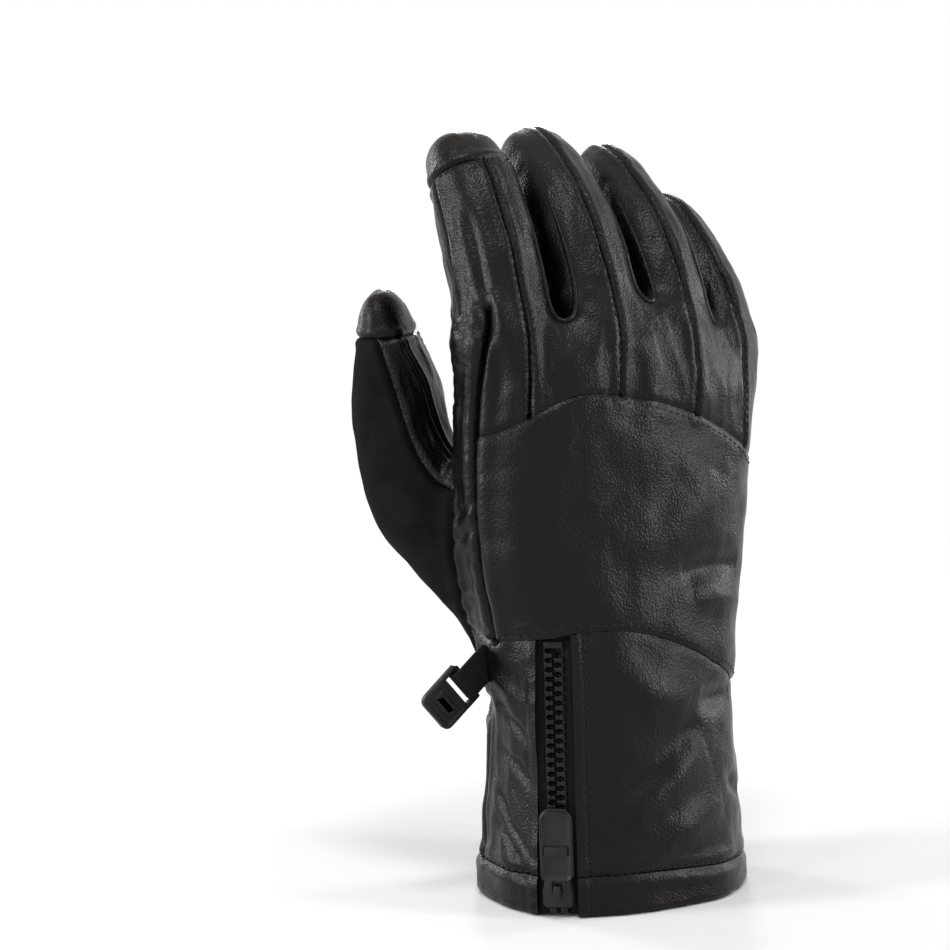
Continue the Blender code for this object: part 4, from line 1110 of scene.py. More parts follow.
class Leather:
    """The outer leather: the fine skin with its relief, cut into panels."""

    def __init__(self, skin, relief, zip_frame, finishes, digits):
        self.skin = skin
        self.relief = relief
        self.finishes = finishes
        self.digits = digits
        self.points = skin.points + skin.normals * relief.height[:, None]
        self.draw_in_lips(zip_frame)
        self.normals = vertex_normals(self.points, skin.faces)
        self.surface_points = []
        self.surface_faces = []

    def draw_in_lips(self, zip_frame):
        """Move the leather beside the zip in over the tape."""
        turn = np.array(zip_frame.matrix)
        across, up, out = ((self.skin.points - turn[:3, 3]) @ turn[:3, :3]).T
        half = lerp(zip_frame.low_half, zip_frame.high_half, up / zip_frame.height)
        near = 1 - smoothstep(0.0, LIP_FADE, np.abs(across) - half)
        near *= (np.abs(out) < LIP_DEPTH) & (up < zip_frame.height + LIP_END)
        reach = np.where(across < 0, LIP_REACH, -LIP_REACH)
        self.points += (near * reach)[:, None] * turn[:3, 0]

    def lift(self, name):
        """Extra height of a panel that lies over its neighbours, rounded off at its edge."""
        if name == "back_overlay":
            edge = self.relief.edge_distance["lap"]
            pressed = swells(((1.0, STITCH_INSET["lap"], OVERLAY_PRESS_WIDTH),), edge)
            rise = np.sqrt(np.clip(edge / OVERLAY_EDGE, OVERLAY_EDGE_SHARE, 1.0))
            return OVERLAY_LIFT * rise - OVERLAY_PRESS * pressed
        if name == "hem_band":
            return np.full(len(self.points), HEM_LIFT)
        return np.zeros(len(self.points))

    def add_panel(self, name, body):
        skin = self.skin
        faces = skin.faces[skin.panels == PANELS.index(name)]
        outer = self.points + skin.normals * self.lift(name)[:, None]
        own = vertex_normals(outer, faces)
        flush = self.relief.flush
        own[flush] = self.normals[flush]
        thickness = HEM_THICKNESS if name == "hem_band" else LEATHER_THICKNESS
        inward = skin.normals.copy()
        inward[skin.points[:, 2] < 1e-4, 2] = 0
        mesh = shell_mesh(name + "_shell", faces, outer, outer - inward * thickness, own)
        kind = leather_kind(name)
        piece = add_piece(name + "_shell", mesh, self.finishes[kind])
        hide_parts(name)
        carry(piece, body, self.digits)
        self.surface_faces.append(faces + len(self.points) * len(self.surface_points))
        self.surface_points.append(outer)

    def add_panels(self, cage):
        owner = dict(zip(cage.panels, cage.bodies))
        for number, name in enumerate(PANELS):
            if name != "zip_opening":
                self.add_panel(name, owner[number])

    def surface(self):
        """The finished outside of the leather, to lay thread on."""
        faces = np.concatenate(self.surface_faces)
        points = np.concatenate(self.surface_points)
        return BVHTree.FromPolygons(points.tolist(), faces.tolist())


def leather_kind(name):
    if name in ("palm_suede_patch", "thumb_suede"):
        return "suede"
    if name.endswith("_palm"):
        return "smooth leather"
    return "leather"


def add_layers(cage, skin, leather, zip_frame, finishes, digits):
    """Padding and fleece inside the leather, following its relief from underneath."""
    tree = search_tree(leather.skin.points)
    nearest = [tree.find(point)[1] for point in skin.points]
    sunk = np.minimum(leather.relief.height[nearest], 0.0)
    bodies = np.array(cage.bodies)[skin.owners]
    rows = np.array([row for row, _ in cage.places])[skin.owners]
    columns = np.array([column for _, column in cage.places])[skin.owners]
    padded = (rows >= CUFF_RINGS) | ((columns > ZIP_COLUMN + 1) & (columns < THUMB_EDGE))
    padded &= skin.owners < cage.hand_faces
    hand = bodies == "hand"
    above_hem = skin.points[skin.faces][:, :, 2].min(1) > HEM_LINING_HEIGHTS[1] / 2
    heights = np.linspace(0, zip_frame.height, ZIP_LINING_STEPS)
    zip_line = np.array([zip_frame.matrix @ Vector((0, up, 0)) for up in heights])
    from_zip = distance_to(skin.points, zip_line, ZIP_LINING_REACH)
    zip_near = 1 - smoothstep(*ZIP_LINING_FADE, from_zip)
    low, high = HEM_LINING_HEIGHTS
    fall = np.maximum(smoothstep(low, high, skin.points[:, 2]), zip_near)
    lining_depth = lerp(HEM_LINING_DEPTH, HAND_LINING_DEPTHS[0], fall)
    digit_roots = np.unique(skin.faces[hand & (skin.owners >= cage.hand_faces)])
    lining_depth[digit_roots] = LINING_DEPTHS[0]
    thick = HAND_LINING_DEPTHS[1] - HAND_LINING_DEPTHS[0]
    layers = [("hand_insulation", "hand", hand & padded & above_hem, HAND_PADDING_DEPTHS, "padding"),
              ("hand_lining", "hand", hand, (lining_depth, lining_depth + thick), "fleece")]
    for body in digits:
        chosen = (bodies == body) & (rows > 0)
        layers.append((body + "_insulation", body, chosen, PADDING_DEPTHS, "padding"))
        layers.append((body + "_lining", body, chosen, LINING_DEPTHS, "fleece"))
    for name, body, chosen, depths, kind in layers:
        faces = skin.faces[chosen]
        outer, inner = (skin.points + skin.normals * (sunk - depth)[:, None] for depth in depths)
        for layer in (outer, inner):
            layer[:, 2] = np.maximum(layer[:, 2], HEM_LINING_HEIGHTS[0])
        mesh = shell_mesh(name + "_layer", faces, outer, inner, vertex_normals(outer, faces))
        piece = add_piece(name + "_layer", mesh, finishes[kind])
        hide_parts(name)
        carry(piece, body, digits)


# Thread and rolled edges

def lay_along_x(shape, points):
    """Turn a shape that stands along Z to lie along X."""
    turn = Matrix.Rotation(math.pi / 2, 3, "Y")
    bmesh.ops.rotate(shape, verts=points, cent=(0, 0, 0), matrix=turn)


def stitch_shape():
    """Points and faces of one short stitch along X, one unit long and wide before it is sized."""
    shape = bmesh.new()
    bmesh.ops.create_uvsphere(shape, u_segments=6, v_segments=4, radius=0.5)
    lay_along_x(shape, shape.verts)
    points = np.array([vertex.co for vertex in shape.verts])
    faces = [[vertex.index for vertex in face.verts] for face in shape.faces]
    shape.free()
    return points, faces


class Thread:
    """Rows of stitches laid on the leather, gathered by the body that carries them."""

    def __init__(self, leather):
        self.skin = leather.skin
        self.surface = leather.surface()
        self.places = {}

    def row(self, body, chain, offset, pitch=STITCH_PITCH):
        """Stitches beside a chain of cage points, offset to its right seen along it from outside."""
        path = self.skin.line(chain)
        points, normals = self.skin.points[path], self.skin.normals[path]
        along = np.gradient(points, axis=0)
        along /= np.linalg.norm(along, axis=1, keepdims=True)
        beside = points + np.cross(along, normals) * offset
        steps = np.linalg.norm(np.diff(beside, axis=0), axis=1)
        run = np.concatenate([[0], np.cumsum(steps)])
        for place in np.arange(pitch / 2, run[-1], pitch):
            spot = Vector([np.interp(place, run, beside[:, axis]) for axis in range(3)])
            ahead = Vector([np.interp(place + pitch / 4, run, beside[:, axis]) for axis in range(3)])
            hit, normal, _, _ = self.surface.find_nearest(spot)
            toward = ahead - spot
            toward -= normal * toward.dot(normal)
            if toward.length > 1e-6:
                self.places.setdefault(body, []).append((hit, toward.normalized(), normal))

    def add(self, finish, digits):
        shape, faces = stitch_shape()
        size = np.array((STITCH_LENGTH, STITCH_THICKNESS, STITCH_THICKNESS))
        for body, places in self.places.items():
            points, all_faces = [], []
            for spot, toward, normal in places:
                first = len(points)
                turn = np.array(Matrix((toward, normal.cross(toward), normal)))
                middle = np.array(spot + normal * STITCH_THICKNESS * STITCH_RISE)
                points.extend((middle + (shape * size) @ turn).tolist())
                all_faces.extend([i + first for i in face] for face in faces)
            mesh = bpy.data.meshes.new(body + "_stitches")
            mesh.from_pydata(points, [], all_faces)
            mesh.shade_smooth()
            piece = add_piece(body + "_stitches", mesh, finish)
            carry(piece, body, digits)


def tube_mesh(name, points, radii):
    """A round tube along a line of points, closed at both ends."""
    curve = bpy.data.curves.new(name, "CURVE")
    curve.dimensions = "3D"
    curve.bevel_depth = 1.0
    curve.bevel_resolution = 2
    curve.use_fill_caps = True
    spline = curve.splines.new("POLY")
    spline.points.add(len(points) - 1)
    for item, point, radius in zip(spline.points, points, radii):
        item.co = (*point, 1)
        item.radius = radius
    holder = bpy.data.objects.new(name, curve)
    bpy.context.scene.collection.objects.link(holder)
    finished = holder.evaluated_get(bpy.context.evaluated_depsgraph_get())
    mesh = bpy.data.meshes.new_from_object(finished)
    bpy.data.objects.remove(holder)
    mesh.shade_smooth()
    return mesh


def relaxed(points, rounds):
    """A line of points with its corners rounded, its ends kept."""
    points = np.array(points)
    for _ in range(rounds):
        points[1:-1] = (points[:-2] + 2 * points[1:-1] + points[2:]) / 4
    return points


def add_rims(cage, leather, finishes, digits):
    """Rolled edges of the slits between the fingers, split at the bottom of each slit."""
    skin = leather.skin
    for n in range(len(FINGER_NAMES) - 1):
        left, right = cage.finger_loops[n], cage.finger_loops[n + 1]
        left_path = skin.line([loop[2] for loop in left[:RIM_ROWS]])
        right_path = skin.line([loop[0] for loop in right[:RIM_ROWS]])
        line = relaxed(leather.points[left_path[::-1] + right_path[1:]], RIM_ROUNDING)
        middle = len(left_path) - 1
        halves = ((FINGER_NAMES[n], "left", line[middle::-1]),
                  (FINGER_NAMES[n + 1], "right", line[middle:]))
        for finger, side, points in halves:
            share = np.linspace(0, 1, len(points))
            radii = RIM_RADIUS * (1 - RIM_THINNING * smoothstep(*RIM_THINS, share))
            name = "slit_rim_%d_%s" % (n + 1, side)
            piece = add_piece(name, tube_mesh(name, points, radii), finishes["leather"])
            carry(piece, finger, digits)


# Hard pieces, modelled flat in a frame of across, up and out, then put in place

def frame_matrix(across, up, out, place):
    """The matrix that puts a flat layout in place."""
    rows = [[across[i], up[i], out[i], place[i]] for i in range(3)]
    return Matrix(rows + [[0, 0, 0, 1]])


class ZipFrame:
    """Across, up and out from the middle of the zip opening at the hem."""

    def __init__(self, cage, skin):
        corners = [Vector(skin.points[cage.rings[ring][column]])
                   for ring in (0, CUFF_RINGS) for column in (ZIP_COLUMN, ZIP_COLUMN + 1)]
        low_left, low_right, high_left, high_right = corners
        origin = (low_left + low_right) / 2
        rise = (high_left + high_right) / 2 - origin
        self.height = rise.length
        self.up = rise.normalized()
        across = (low_right - low_left).normalized() + (high_right - high_left).normalized()
        self.across = (across - self.up * across.dot(self.up)).normalized()
        self.out = self.across.cross(self.up)
        self.matrix = frame_matrix(self.across, self.up, self.out, origin)
        self.low_half = (low_right - low_left).length / 2
        self.high_half = (high_right - high_left).length / 2
        self.chain_end = self.height - ZIP_END_MARGIN

    def half_width(self, up):
        return lerp(self.low_half, self.high_half, up / self.height)

    def pull_matrix(self):
        """The frame of the pull: its pin, tilted off the chain."""
        out = TEETH_TOP + RUNNING_GAP + SLIDER_PLATE + RUNNING_GAP + PULL_PIN_RADIUS
        pin = self.matrix @ Vector((0, SLIDER_START + SLIDER_LENGTH / 2, out))
        tilt = math.radians(PULL_TILT)
        along = self.up * math.cos(tilt) + self.out * math.sin(tilt)
        outward = self.out * math.cos(tilt) - self.up * math.sin(tilt)
        return frame_matrix(self.across, along, outward, pin)


def block(shape, across, up, out):
    """A box between two values along each direction."""
    spans = [(max(pair) - min(pair), (max(pair) + min(pair)) / 2) for pair in (across, up, out)]
    made = bmesh.ops.create_cube(shape, size=1.0)["verts"]
    bmesh.ops.scale(shape, verts=made, vec=[span for span, _ in spans])
    bmesh.ops.translate(shape, verts=made, vec=[middle for _, middle in spans])


def plate(shape, outline, out):
    """An outline in the across-up plane, counterclockwise from outside, drawn out to a thickness."""
    low, high = out
    made = [shape.verts.new((a, u, low)) for a, u in outline]
    face = shape.faces.new(made)
    drawn = bmesh.ops.extrude_face_region(shape, geom=[face])["geom"]
    points = [item for item in drawn if isinstance(item, bmesh.types.BMVert)]
    bmesh.ops.translate(shape, verts=points, vec=(0, 0, high - low))
    bmesh.ops.reverse_faces(shape, faces=[face])
    shape.normal_update()
    return [item for item in drawn if isinstance(item, bmesh.types.BMFace)][0]


def soften(shape, size, segments=2, edges=None):
    """Round off the given edges, or all of them."""
    bmesh.ops.bevel(shape, geom=edges or shape.edges[:], offset=size, segments=segments, profile=0.5,
                    affect="EDGES", material=-1, clamp_overlap=True)


def corner_arc(x, y, radius, start, steps=6):
    """Points of a rounded corner of an upright rectangle, turning a quarter from an angle."""
    centre_x = x - math.copysign(radius, x)
    centre_y = y - radius if start in (0, 90) else y + radius
    angles = [math.radians(start + 90 * i / steps) for i in range(steps + 1)]
    return [(centre_x + radius * math.cos(a), centre_y + radius * math.sin(a)) for a in angles]


def rounded_outline(half, low, high, low_radius, high_radius):
    """An upright rectangle with its lower and its upper corners rounded."""
    corners = ((half, low, low_radius, -90), (half, high, high_radius, 0),
               (-half, high, high_radius, 90), (-half, low, low_radius, 180))
    return [point for corner in corners for point in corner_arc(*corner)]


def loft(shape, rings):
    """Rings of points joined in turn; returns the edges of the first and the last."""
    loops = [[shape.edges.new((ring[i - 1], ring[i])) for i in range(len(ring))] for ring in rings]
    for low, high in zip(loops, loops[1:]):
        bmesh.ops.bridge_loops(shape, edges=low + high)
    return loops[0] + loops[-1]


def sharp_edges(shape, angle):
    """Edges where two faces meet at more than an angle, in radians."""
    return [edge for edge in shape.edges if edge.is_manifold and edge.calc_face_angle(0.0) > angle]


def stack(shape, layers):
    """Outlines at the heights given, joined in turn and closed at both ends."""
    rings = [[shape.verts.new((a, u, out)) for a, u in outline] for outline, out in layers]
    loft(shape, rings)
    shape.faces.new(rings[0][::-1])
    shape.faces.new(rings[-1])
    shape.normal_update()


def hard_mesh(name, shape, matrix):
    """A finished mesh in place, with its flat layout in millimetres as a map for woven patterns."""
    layout = shape.loops.layers.uv.new("layout")
    for face in shape.faces:
        for loop in face.loops:
            loop[layout].uv = loop.vert.co.xy * MILLIMETRES
    bmesh.ops.transform(shape, matrix=matrix, verts=shape.verts)
    bmesh.ops.recalc_face_normals(shape, faces=shape.faces)
    mesh = bpy.data.meshes.new(name)
    shape.to_mesh(mesh)
    shape.free()
    mesh.shade_smooth()
    mesh.set_sharp_from_angle(angle=math.radians(SHARP_ANGLE))
    return mesh


def add_hard(name, shape, matrix, finish, slot, body, *nodes):
    """A hard piece that stands for CAD nodes and moves with a body."""
    piece = add_piece(name, hard_mesh(name, shape, matrix), finish)
    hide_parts(*nodes)
    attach(piece, body)


def add_zip(zip_frame, finishes):
    for side, name in ((-1, "left"), (1, "right")):
        add_tape(zip_frame, side, name, finishes)
        add_teeth(zip_frame, side, name, finishes)
    add_stops(zip_frame, finishes)
    add_gusset(zip_frame, finishes)
    add_slider(zip_frame, finishes)
    add_pull(zip_frame, finishes)


def add_tape(zip_frame, side, name, finishes):
    """Woven tape between the teeth and the leather."""
    low, high = ZIP_TAPE_START, zip_frame.chain_end
    inner = TEETH_HALF_WIDTH + ZIP_TAPE_INNER_GAP
    low_outer, high_outer = (zip_frame.half_width(up) - ZIP_TAPE_OUTER_GAP for up in (low, high))
    outline = [(side * inner, low), (side * low_outer, low),
               (side * high_outer, high), (side * inner, high)]
    shape = bmesh.new()
    plate(shape, outline if side > 0 else outline[::-1], (-ZIP_TAPE_DEPTHS[1], -ZIP_TAPE_DEPTHS[0]))
    soften(shape, ZIP_TAPE_ROUND)
    add_hard("zip_tape_%s_woven" % name, shape, zip_frame.matrix, finishes["tape"], "woven_tape",
             "hand", "zip_tape_" + name)


def add_teeth(zip_frame, side, name, finishes):
    """One row of moulded teeth, each with a foot on the tape, a neck and a head."""
    low, high = SLIDER_START, zip_frame.chain_end - ZIP_STOP_LENGTH
    shape = bmesh.new()
    middle = low + TEETH_PITCH * (0.5 if side < 0 else 1.0)
    while middle + TOOTH_FOOT < high:
        outline = [(side * a, middle + u) for a, u in TOOTH_OUTLINE]
        outline += [(side * a, middle - u) for a, u in reversed(TOOTH_OUTLINE)]
        plate(shape, outline if side > 0 else outline[::-1], (TEETH_BOTTOM, TEETH_TOP))
        middle += TEETH_PITCH
    rims = [edge for edge in shape.edges if abs(edge.verts[0].co.z - edge.verts[1].co.z) < 1e-6]
    soften(shape, TOOTH_ROUND, 2, rims)
    block(shape, [side * a for a in BEAD_ACROSS], (low, high), BEAD_OUT)
    add_hard("zip_teeth_%s_moulded" % name, shape, zip_frame.matrix, finishes["plastic"],
             "moulded_plastic", "hand", "zip_teeth_" + name)


def add_stops(zip_frame, finishes):
    """A stop at the hem end of each row of teeth, and one across both at the top."""
    hem = SLIDER_START - ZIP_STOP_GAP
    stops = [("zip_hem_stop_left", (-TEETH_HALF_WIDTH, -TEETH_CHANNEL / 2), hem),
             ("zip_hem_stop_right", (TEETH_CHANNEL / 2, TEETH_HALF_WIDTH), hem),
             ("zip_top_stop", (-TEETH_HALF_WIDTH, TEETH_HALF_WIDTH), zip_frame.chain_end)]
    for node, across, end in stops:
        shape = bmesh.new()
        block(shape, across, (end - ZIP_STOP_LENGTH, end), (TEETH_BOTTOM, TEETH_TOP))
        soften(shape, ZIP_STOP_ROUND, 3)
        add_hard(node + "_moulded", shape, zip_frame.matrix, finishes["plastic"], "moulded_plastic",
                 "hand", node)


def add_gusset(zip_frame, finishes):
    """Leather folded into a trough behind the zip."""
    floor = -SLIDER_FLOOR - RUNNING_GAP
    seat = -LEATHER_THICKNESS - GUSSET_DROP
    shape = bmesh.new()
    rings = []
    for up in np.linspace(GUSSET_START, zip_frame.chain_end - ZIP_STOP_LENGTH, GUSSET_RINGS):
        half = zip_frame.half_width(up)
        profile = [(-half - GUSSET_MARGIN, seat - GUSSET_FALL * GUSSET_MARGIN), (-half, seat),
                   (-half + GUSSET_WALL, floor), (0, floor - GUSSET_DIP), (half - GUSSET_WALL, floor),
                   (half, seat), (half + GUSSET_MARGIN, seat - GUSSET_FALL * GUSSET_MARGIN)]
        profile += [(a, o - GUSSET_THICKNESS) for a, o in reversed(profile)]
        rings.append([shape.verts.new((a, up, o)) for a, o in profile])
    bmesh.ops.holes_fill(shape, edges=loft(shape, rings))
    add_hard("zip_gusset_folded", shape, zip_frame.matrix, finishes["smooth leather"],
             "smooth_leather", "hand", "zip_gusset")


def add_slider(zip_frame, finishes):
    """Two plates round the chain, a post between the rows, and a bail over the pull's pin."""
    low, high = SLIDER_START, SLIDER_START + SLIDER_LENGTH
    middle = (low + high) / 2
    width, neck = SLIDER_HALF_WIDTH, SLIDER_HALF_WIDTH - SLIDER_TAPER
    under = TEETH_BOTTOM - SLIDER_UNDER_GAP
    over = TEETH_TOP + RUNNING_GAP
    top = over + SLIDER_PLATE
    arch = top + 2 * (RUNNING_GAP + PULL_PIN_RADIUS)
    window = PULL_PIN_RADIUS + RUNNING_GAP
    foot = window + SLIDER_PLATE
    post = TOOTH_TIP - SLIDER_POST_GAP
    less, more = SLIDER_CORNER
    shield = [(-width + less, low), (width - less, low), (width, low + more), (width, middle),
              (neck, high - less), (neck - more, high), (-neck + more, high), (-neck, high - less),
              (-width, middle), (-width, low + more)]
    shape = bmesh.new()
    plate(shape, shield, (over, top))
    plate(shape, shield, (-SLIDER_FLOOR, under))
    for side in (-1, 1):
        block(shape, (side * (width - SLIDER_FLANGE), side * width),
              (low + SLIDER_FLANGE_ENDS, middle + SLIDER_FLANGE_ENDS),
              (RUNNING_GAP - ZIP_TAPE_DEPTHS[0], over + SLIDER_LAP))
    bail = (-BRIDGE_HALF_WIDTH, BRIDGE_HALF_WIDTH)
    for leg in ((middle - BAIL_DROP, middle - window), (middle + window, middle + foot)):
        block(shape, bail, leg, (top - SLIDER_LAP, arch + BAIL_LAP))
    block(shape, bail, (middle - BAIL_DROP, middle + foot), (arch, arch + BRIDGE_RISE))
    soften(shape, SLIDER_ROUND)
    block(shape, (-post, post), (middle - foot, middle + foot), (under - SLIDER_LAP, over + SLIDER_LAP))
    add_hard("zip_slider_cast", shape, zip_frame.matrix, finishes["painted metal"], "painted_metal",
             "zip_slider", "zip_slider")


def add_pull(zip_frame, finishes):
    """Pull tab with a rounded end, a sunken window and a narrower foot, on a pin under the bail."""
    half = PULL_WIDTH / 2
    start = SLIDER_LENGTH / 2 - PULL_OVERLAP
    stop = start + PULL_LENGTH
    low = -PULL_PIN_RADIUS
    shape = bmesh.new()
    outline = rounded_outline(half, start, stop, PULL_CORNER, PULL_ROUND)
    face = plate(shape, outline, (low, low + PULL_THICKNESS))
    bmesh.ops.inset_individual(shape, faces=[face], thickness=PULL_RIM, use_even_offset=True)
    bmesh.ops.translate(shape, verts=face.verts, vec=(0, 0, -PULL_SINK))
    soften(shape, PULL_EDGE_ROUND, 3, sharp_edges(shape, PULL_EDGE_ANGLE))
    ridge = start + PULL_LENGTH * PULL_RIDGE_PLACE
    ridge_half = half - PULL_RIDGE_INSET
    top = low + PULL_THICKNESS
    lugs = bmesh.new()
    block(lugs, (-ridge_half, ridge_half), (ridge, ridge + PULL_RIDGE_LENGTH),
          [top - depth for depth in PULL_RIDGE_DEPTHS])
    inner = BRIDGE_HALF_WIDTH + RUNNING_GAP
    for side in (-1, 1):
        block(lugs, (side * inner, side * (inner + PULL_ARM)), (low + PULL_ARM_START, start + PULL_ARM),
              (-PULL_ARM_HALF, PULL_ARM_HALF))
    pin = (-PULL_PIN_HALF, PULL_PIN_HALF)
    block(lugs, (-inner - PULL_ARM / 2, inner + PULL_ARM / 2), pin, pin)
    soften(lugs, PULL_LUG_ROUND)
    mesh = bpy.data.meshes.new("lugs")
    lugs.to_mesh(mesh)
    lugs.free()
    shape.from_mesh(mesh)
    add_hard("zip_pull_moulded", shape, zip_frame.pull_matrix(), finishes["soft plastic"],
             "moulded_plastic", "zip_pull", "zip_pull_tab")


def strap_matrix(bar):
    """Across, along and out from the middle of the buckle's bar."""
    fall = math.radians(STRAP_FALL)
    along = Vector((-math.cos(fall), 0, -math.sin(fall)))
    out = Vector((0, -1, 0))
    return frame_matrix(along.cross(out), along, out, bar)


def add_strap(matrix, finishes):
    """Webbing from the side seam, folded round the buckle's bar."""
    inner = BUCKLE_BAR_RADIUS + RUNNING_GAP
    middle = inner + STRAP_THICKNESS / 2
    flat = (-STRAP_LENGTH - STRAP_ROOT, -STRAP_LENGTH, -STRAP_LENGTH * STRAP_MIDDLE)
    stations = [(along, middle, 90.0) for along in flat]
    stations += [(middle * math.cos(math.radians(a)), middle * math.sin(math.radians(a)), a)
                 for a in range(90, 90 - STRAP_WRAP - 1, -STRAP_WRAP_STEP)]
    slant = math.tan(math.radians(STRAP_FALL))
    shape = bmesh.new()
    rings = []
    for along, out, angle in stations:
        turn = math.radians(angle)
        normal = Vector((math.cos(turn), math.sin(turn))) * STRAP_THICKNESS / 2
        ring = []
        for across, side in ((-1.0, -1), (1.0, -1), (1.0, 1), (-1.0, 1)):
            skew = across * STRAP_WIDTH / 2 * slant if along < -STRAP_LENGTH / 2 else 0
            place = (across * STRAP_WIDTH / 2, along + normal.x * side - skew, out + normal.y * side)
            ring.append(shape.verts.new(place))
        rings.append(ring)
    bmesh.ops.holes_fill(shape, edges=loft(shape, rings))
    shape.normal_update()
    soften(shape, STRAP_ROUND, 2, sharp_edges(shape, STRAP_EDGE_ANGLE))
    add_hard("wrist_strap_webbing", shape, matrix, finishes["webbing"], "woven_tape", "hand", "wrist_strap")


def add_buckle(matrix, finishes):
    """A flat frame with rounded bars, a raised rim and a bare face."""
    inside = STRAP_WIDTH / 2 + RUNNING_GAP
    outside = inside + BUCKLE_RAIL
    slot = BUCKLE_BAR_RADIUS + 2 * RUNNING_GAP + STRAP_THICKNESS + BUCKLE_SLOT_SPARE
    half = BUCKLE_THICKNESS / 2
    radius = BUCKLE_BAR_RADIUS
    shape = bmesh.new()
    for side in (-1, 1):
        block(shape, (side * inside, side * outside), (-radius, slot + BUCKLE_LAP), (-half, half))
    soften(shape, BUCKLE_ROUND, 3)
    bar = bmesh.ops.create_cone(shape, cap_ends=True, segments=16, radius1=radius, radius2=radius,
                                depth=2 * outside - BUCKLE_BAR_INSET)["verts"]
    lay_along_x(shape, bar)
    heights = [(inset, rise - half) for inset, rise in BUCKLE_UNDER]
    heights += [(inset, half - fall) for inset, fall in BUCKLE_OVER]
    layers = []
    for inset, out in heights:
        corners = [max(corner - inset, BUCKLE_LEAST_CORNER) for corner in BUCKLE_CORNERS]
        outline = rounded_outline(outside - inset, slot + inset, BUCKLE_LENGTH - inset, *corners)
        layers.append((outline, out))
    stack(shape, layers)
    add_hard("wrist_buckle_moulded", shape, matrix, finishes["plastic"], "moulded_plastic", "buckle",
             "wrist_buckle")


# Finishes

class Finish:
    """One material: its nodes read the piece's own coordinates in metres, or its flat layout."""

    def __init__(self, name, colour, roughness, metallic=0.0, reflection=0.5):
        self.material = bpy.data.materials.new(name)
        self.material.use_nodes = True
        self.tree = self.material.node_tree
        self.shader = self.tree.nodes["Principled BSDF"]
        self.colour = colour
        self.set(self.shader, **{"Base Color": (*colour, 1), "Roughness": roughness, "Metallic": metallic,
                                 "Specular IOR Level": reflection})
        self.places = self.tree.nodes.new("ShaderNodeTexCoord")
        self.normal = None

    def set(self, node, **values):
        """Set a node's sockets by name."""
        for socket, value in values.items():
            node.inputs[socket].default_value = value

    def link(self, source, target):
        self.tree.links.new(source, target)

    def add(self, kind, **values):
        node = self.tree.nodes.new("ShaderNode" + kind)
        self.set(node, **values)
        return node

    def pattern(self, kind, size, layout="Object", stretch=None, **values):
        """A texture whose features are about the given size."""
        node = self.add(kind, Scale=1.0 / size, **values)
        source = self.places.outputs[layout]
        if stretch:
            mapping = self.add("Mapping", Scale=stretch)
            self.link(source, mapping.inputs["Vector"])
            source = mapping.outputs["Vector"]
        self.link(source, node.inputs["Vector"])
        return node

    def spread(self, value, low, high, to_low=0.0, to_high=1.0):
        """A value from one range mapped to another."""
        node = self.add("MapRange", **{"From Min": low, "From Max": high,
                                       "To Min": to_low, "To Max": to_high})
        self.link(value, node.inputs["Value"])
        return node.outputs["Result"]

    def bump(self, height, distance):
        """Raise the surface by a pattern, over any bump already there."""
        node = self.add("Bump", Strength=1.0, Distance=distance)
        self.link(height, node.inputs["Height"])
        if self.normal:
            self.link(self.normal, node.inputs["Normal"])
        self.normal = node.outputs["Normal"]
        self.link(self.normal, self.shader.inputs["Normal"])

    def vary_colour(self, value, other):
        """Go from the base colour to another by a value."""
        node = self.add("Mix")
        node.data_type = "RGBA"
        colours = [socket for socket in node.inputs if socket.type == "RGBA"]
        colours[0].default_value = (*self.colour, 1)
        colours[1].default_value = (*other, 1)
        self.link(value, node.inputs["Factor"])
        result = next(socket for socket in node.outputs if socket.type == "RGBA")
        self.link(result, self.shader.inputs["Base Color"])

    def vary_roughness(self, value, low, high, rough_low, rough_high):
        roughness = self.spread(value, low, high, rough_low, rough_high)
        self.link(roughness, self.shader.inputs["Roughness"])


def leather_finish(name, colour, lighter, roughness, grain, depth, reflection):
    """Grained hide: pebbles parted by fine creases, finer pores, and slow changes of shine."""
    finish = Finish(name, colour, roughness, reflection=reflection)
    finish.set(finish.shader, **{"Specular Tint": HIDE_GLOSS})
    pebbles = finish.pattern("TexVoronoi", grain)
    pebbles.feature = "SMOOTH_F1"
    finish.set(pebbles, Smoothness=0.35)
    pores = finish.pattern("TexNoise", grain * 0.45, Detail=3.0)
    slow = finish.pattern("TexNoise", 0.016, Detail=4.0, Roughness=0.6)
    finish.vary_colour(finish.spread(slow.outputs["Fac"], 0.35, 0.75), lighter)
    finish.vary_roughness(slow.outputs["Fac"], 0.3, 0.7, roughness + 0.06, roughness - 0.06)
    domes = finish.spread(pebbles.outputs["Distance"], 0.0, 0.8, 1.0, 0.0)
    finish.bump(domes, depth)
    finish.bump(pores.outputs["Fac"], depth * 0.6)
    return finish.material


def suede_finish():
    """Napped hide, brushed lighter in patches."""
    finish = Finish("suede", (0.0061, 0.0056, 0.0063), 0.95, reflection=0.01)
    finish.set(finish.shader, **{"Sheen Weight": 0.018, "Sheen Roughness": 0.5})
    nap = finish.pattern("TexNoise", 0.0005, Detail=4.0)
    brushed = finish.pattern("TexNoise", 0.012, Detail=3.0)
    finish.vary_colour(finish.spread(brushed.outputs["Fac"], 0.3, 0.7), (0.0107, 0.0099, 0.0109))
    finish.bump(nap.outputs["Fac"], 0.00020)
    return finish.material


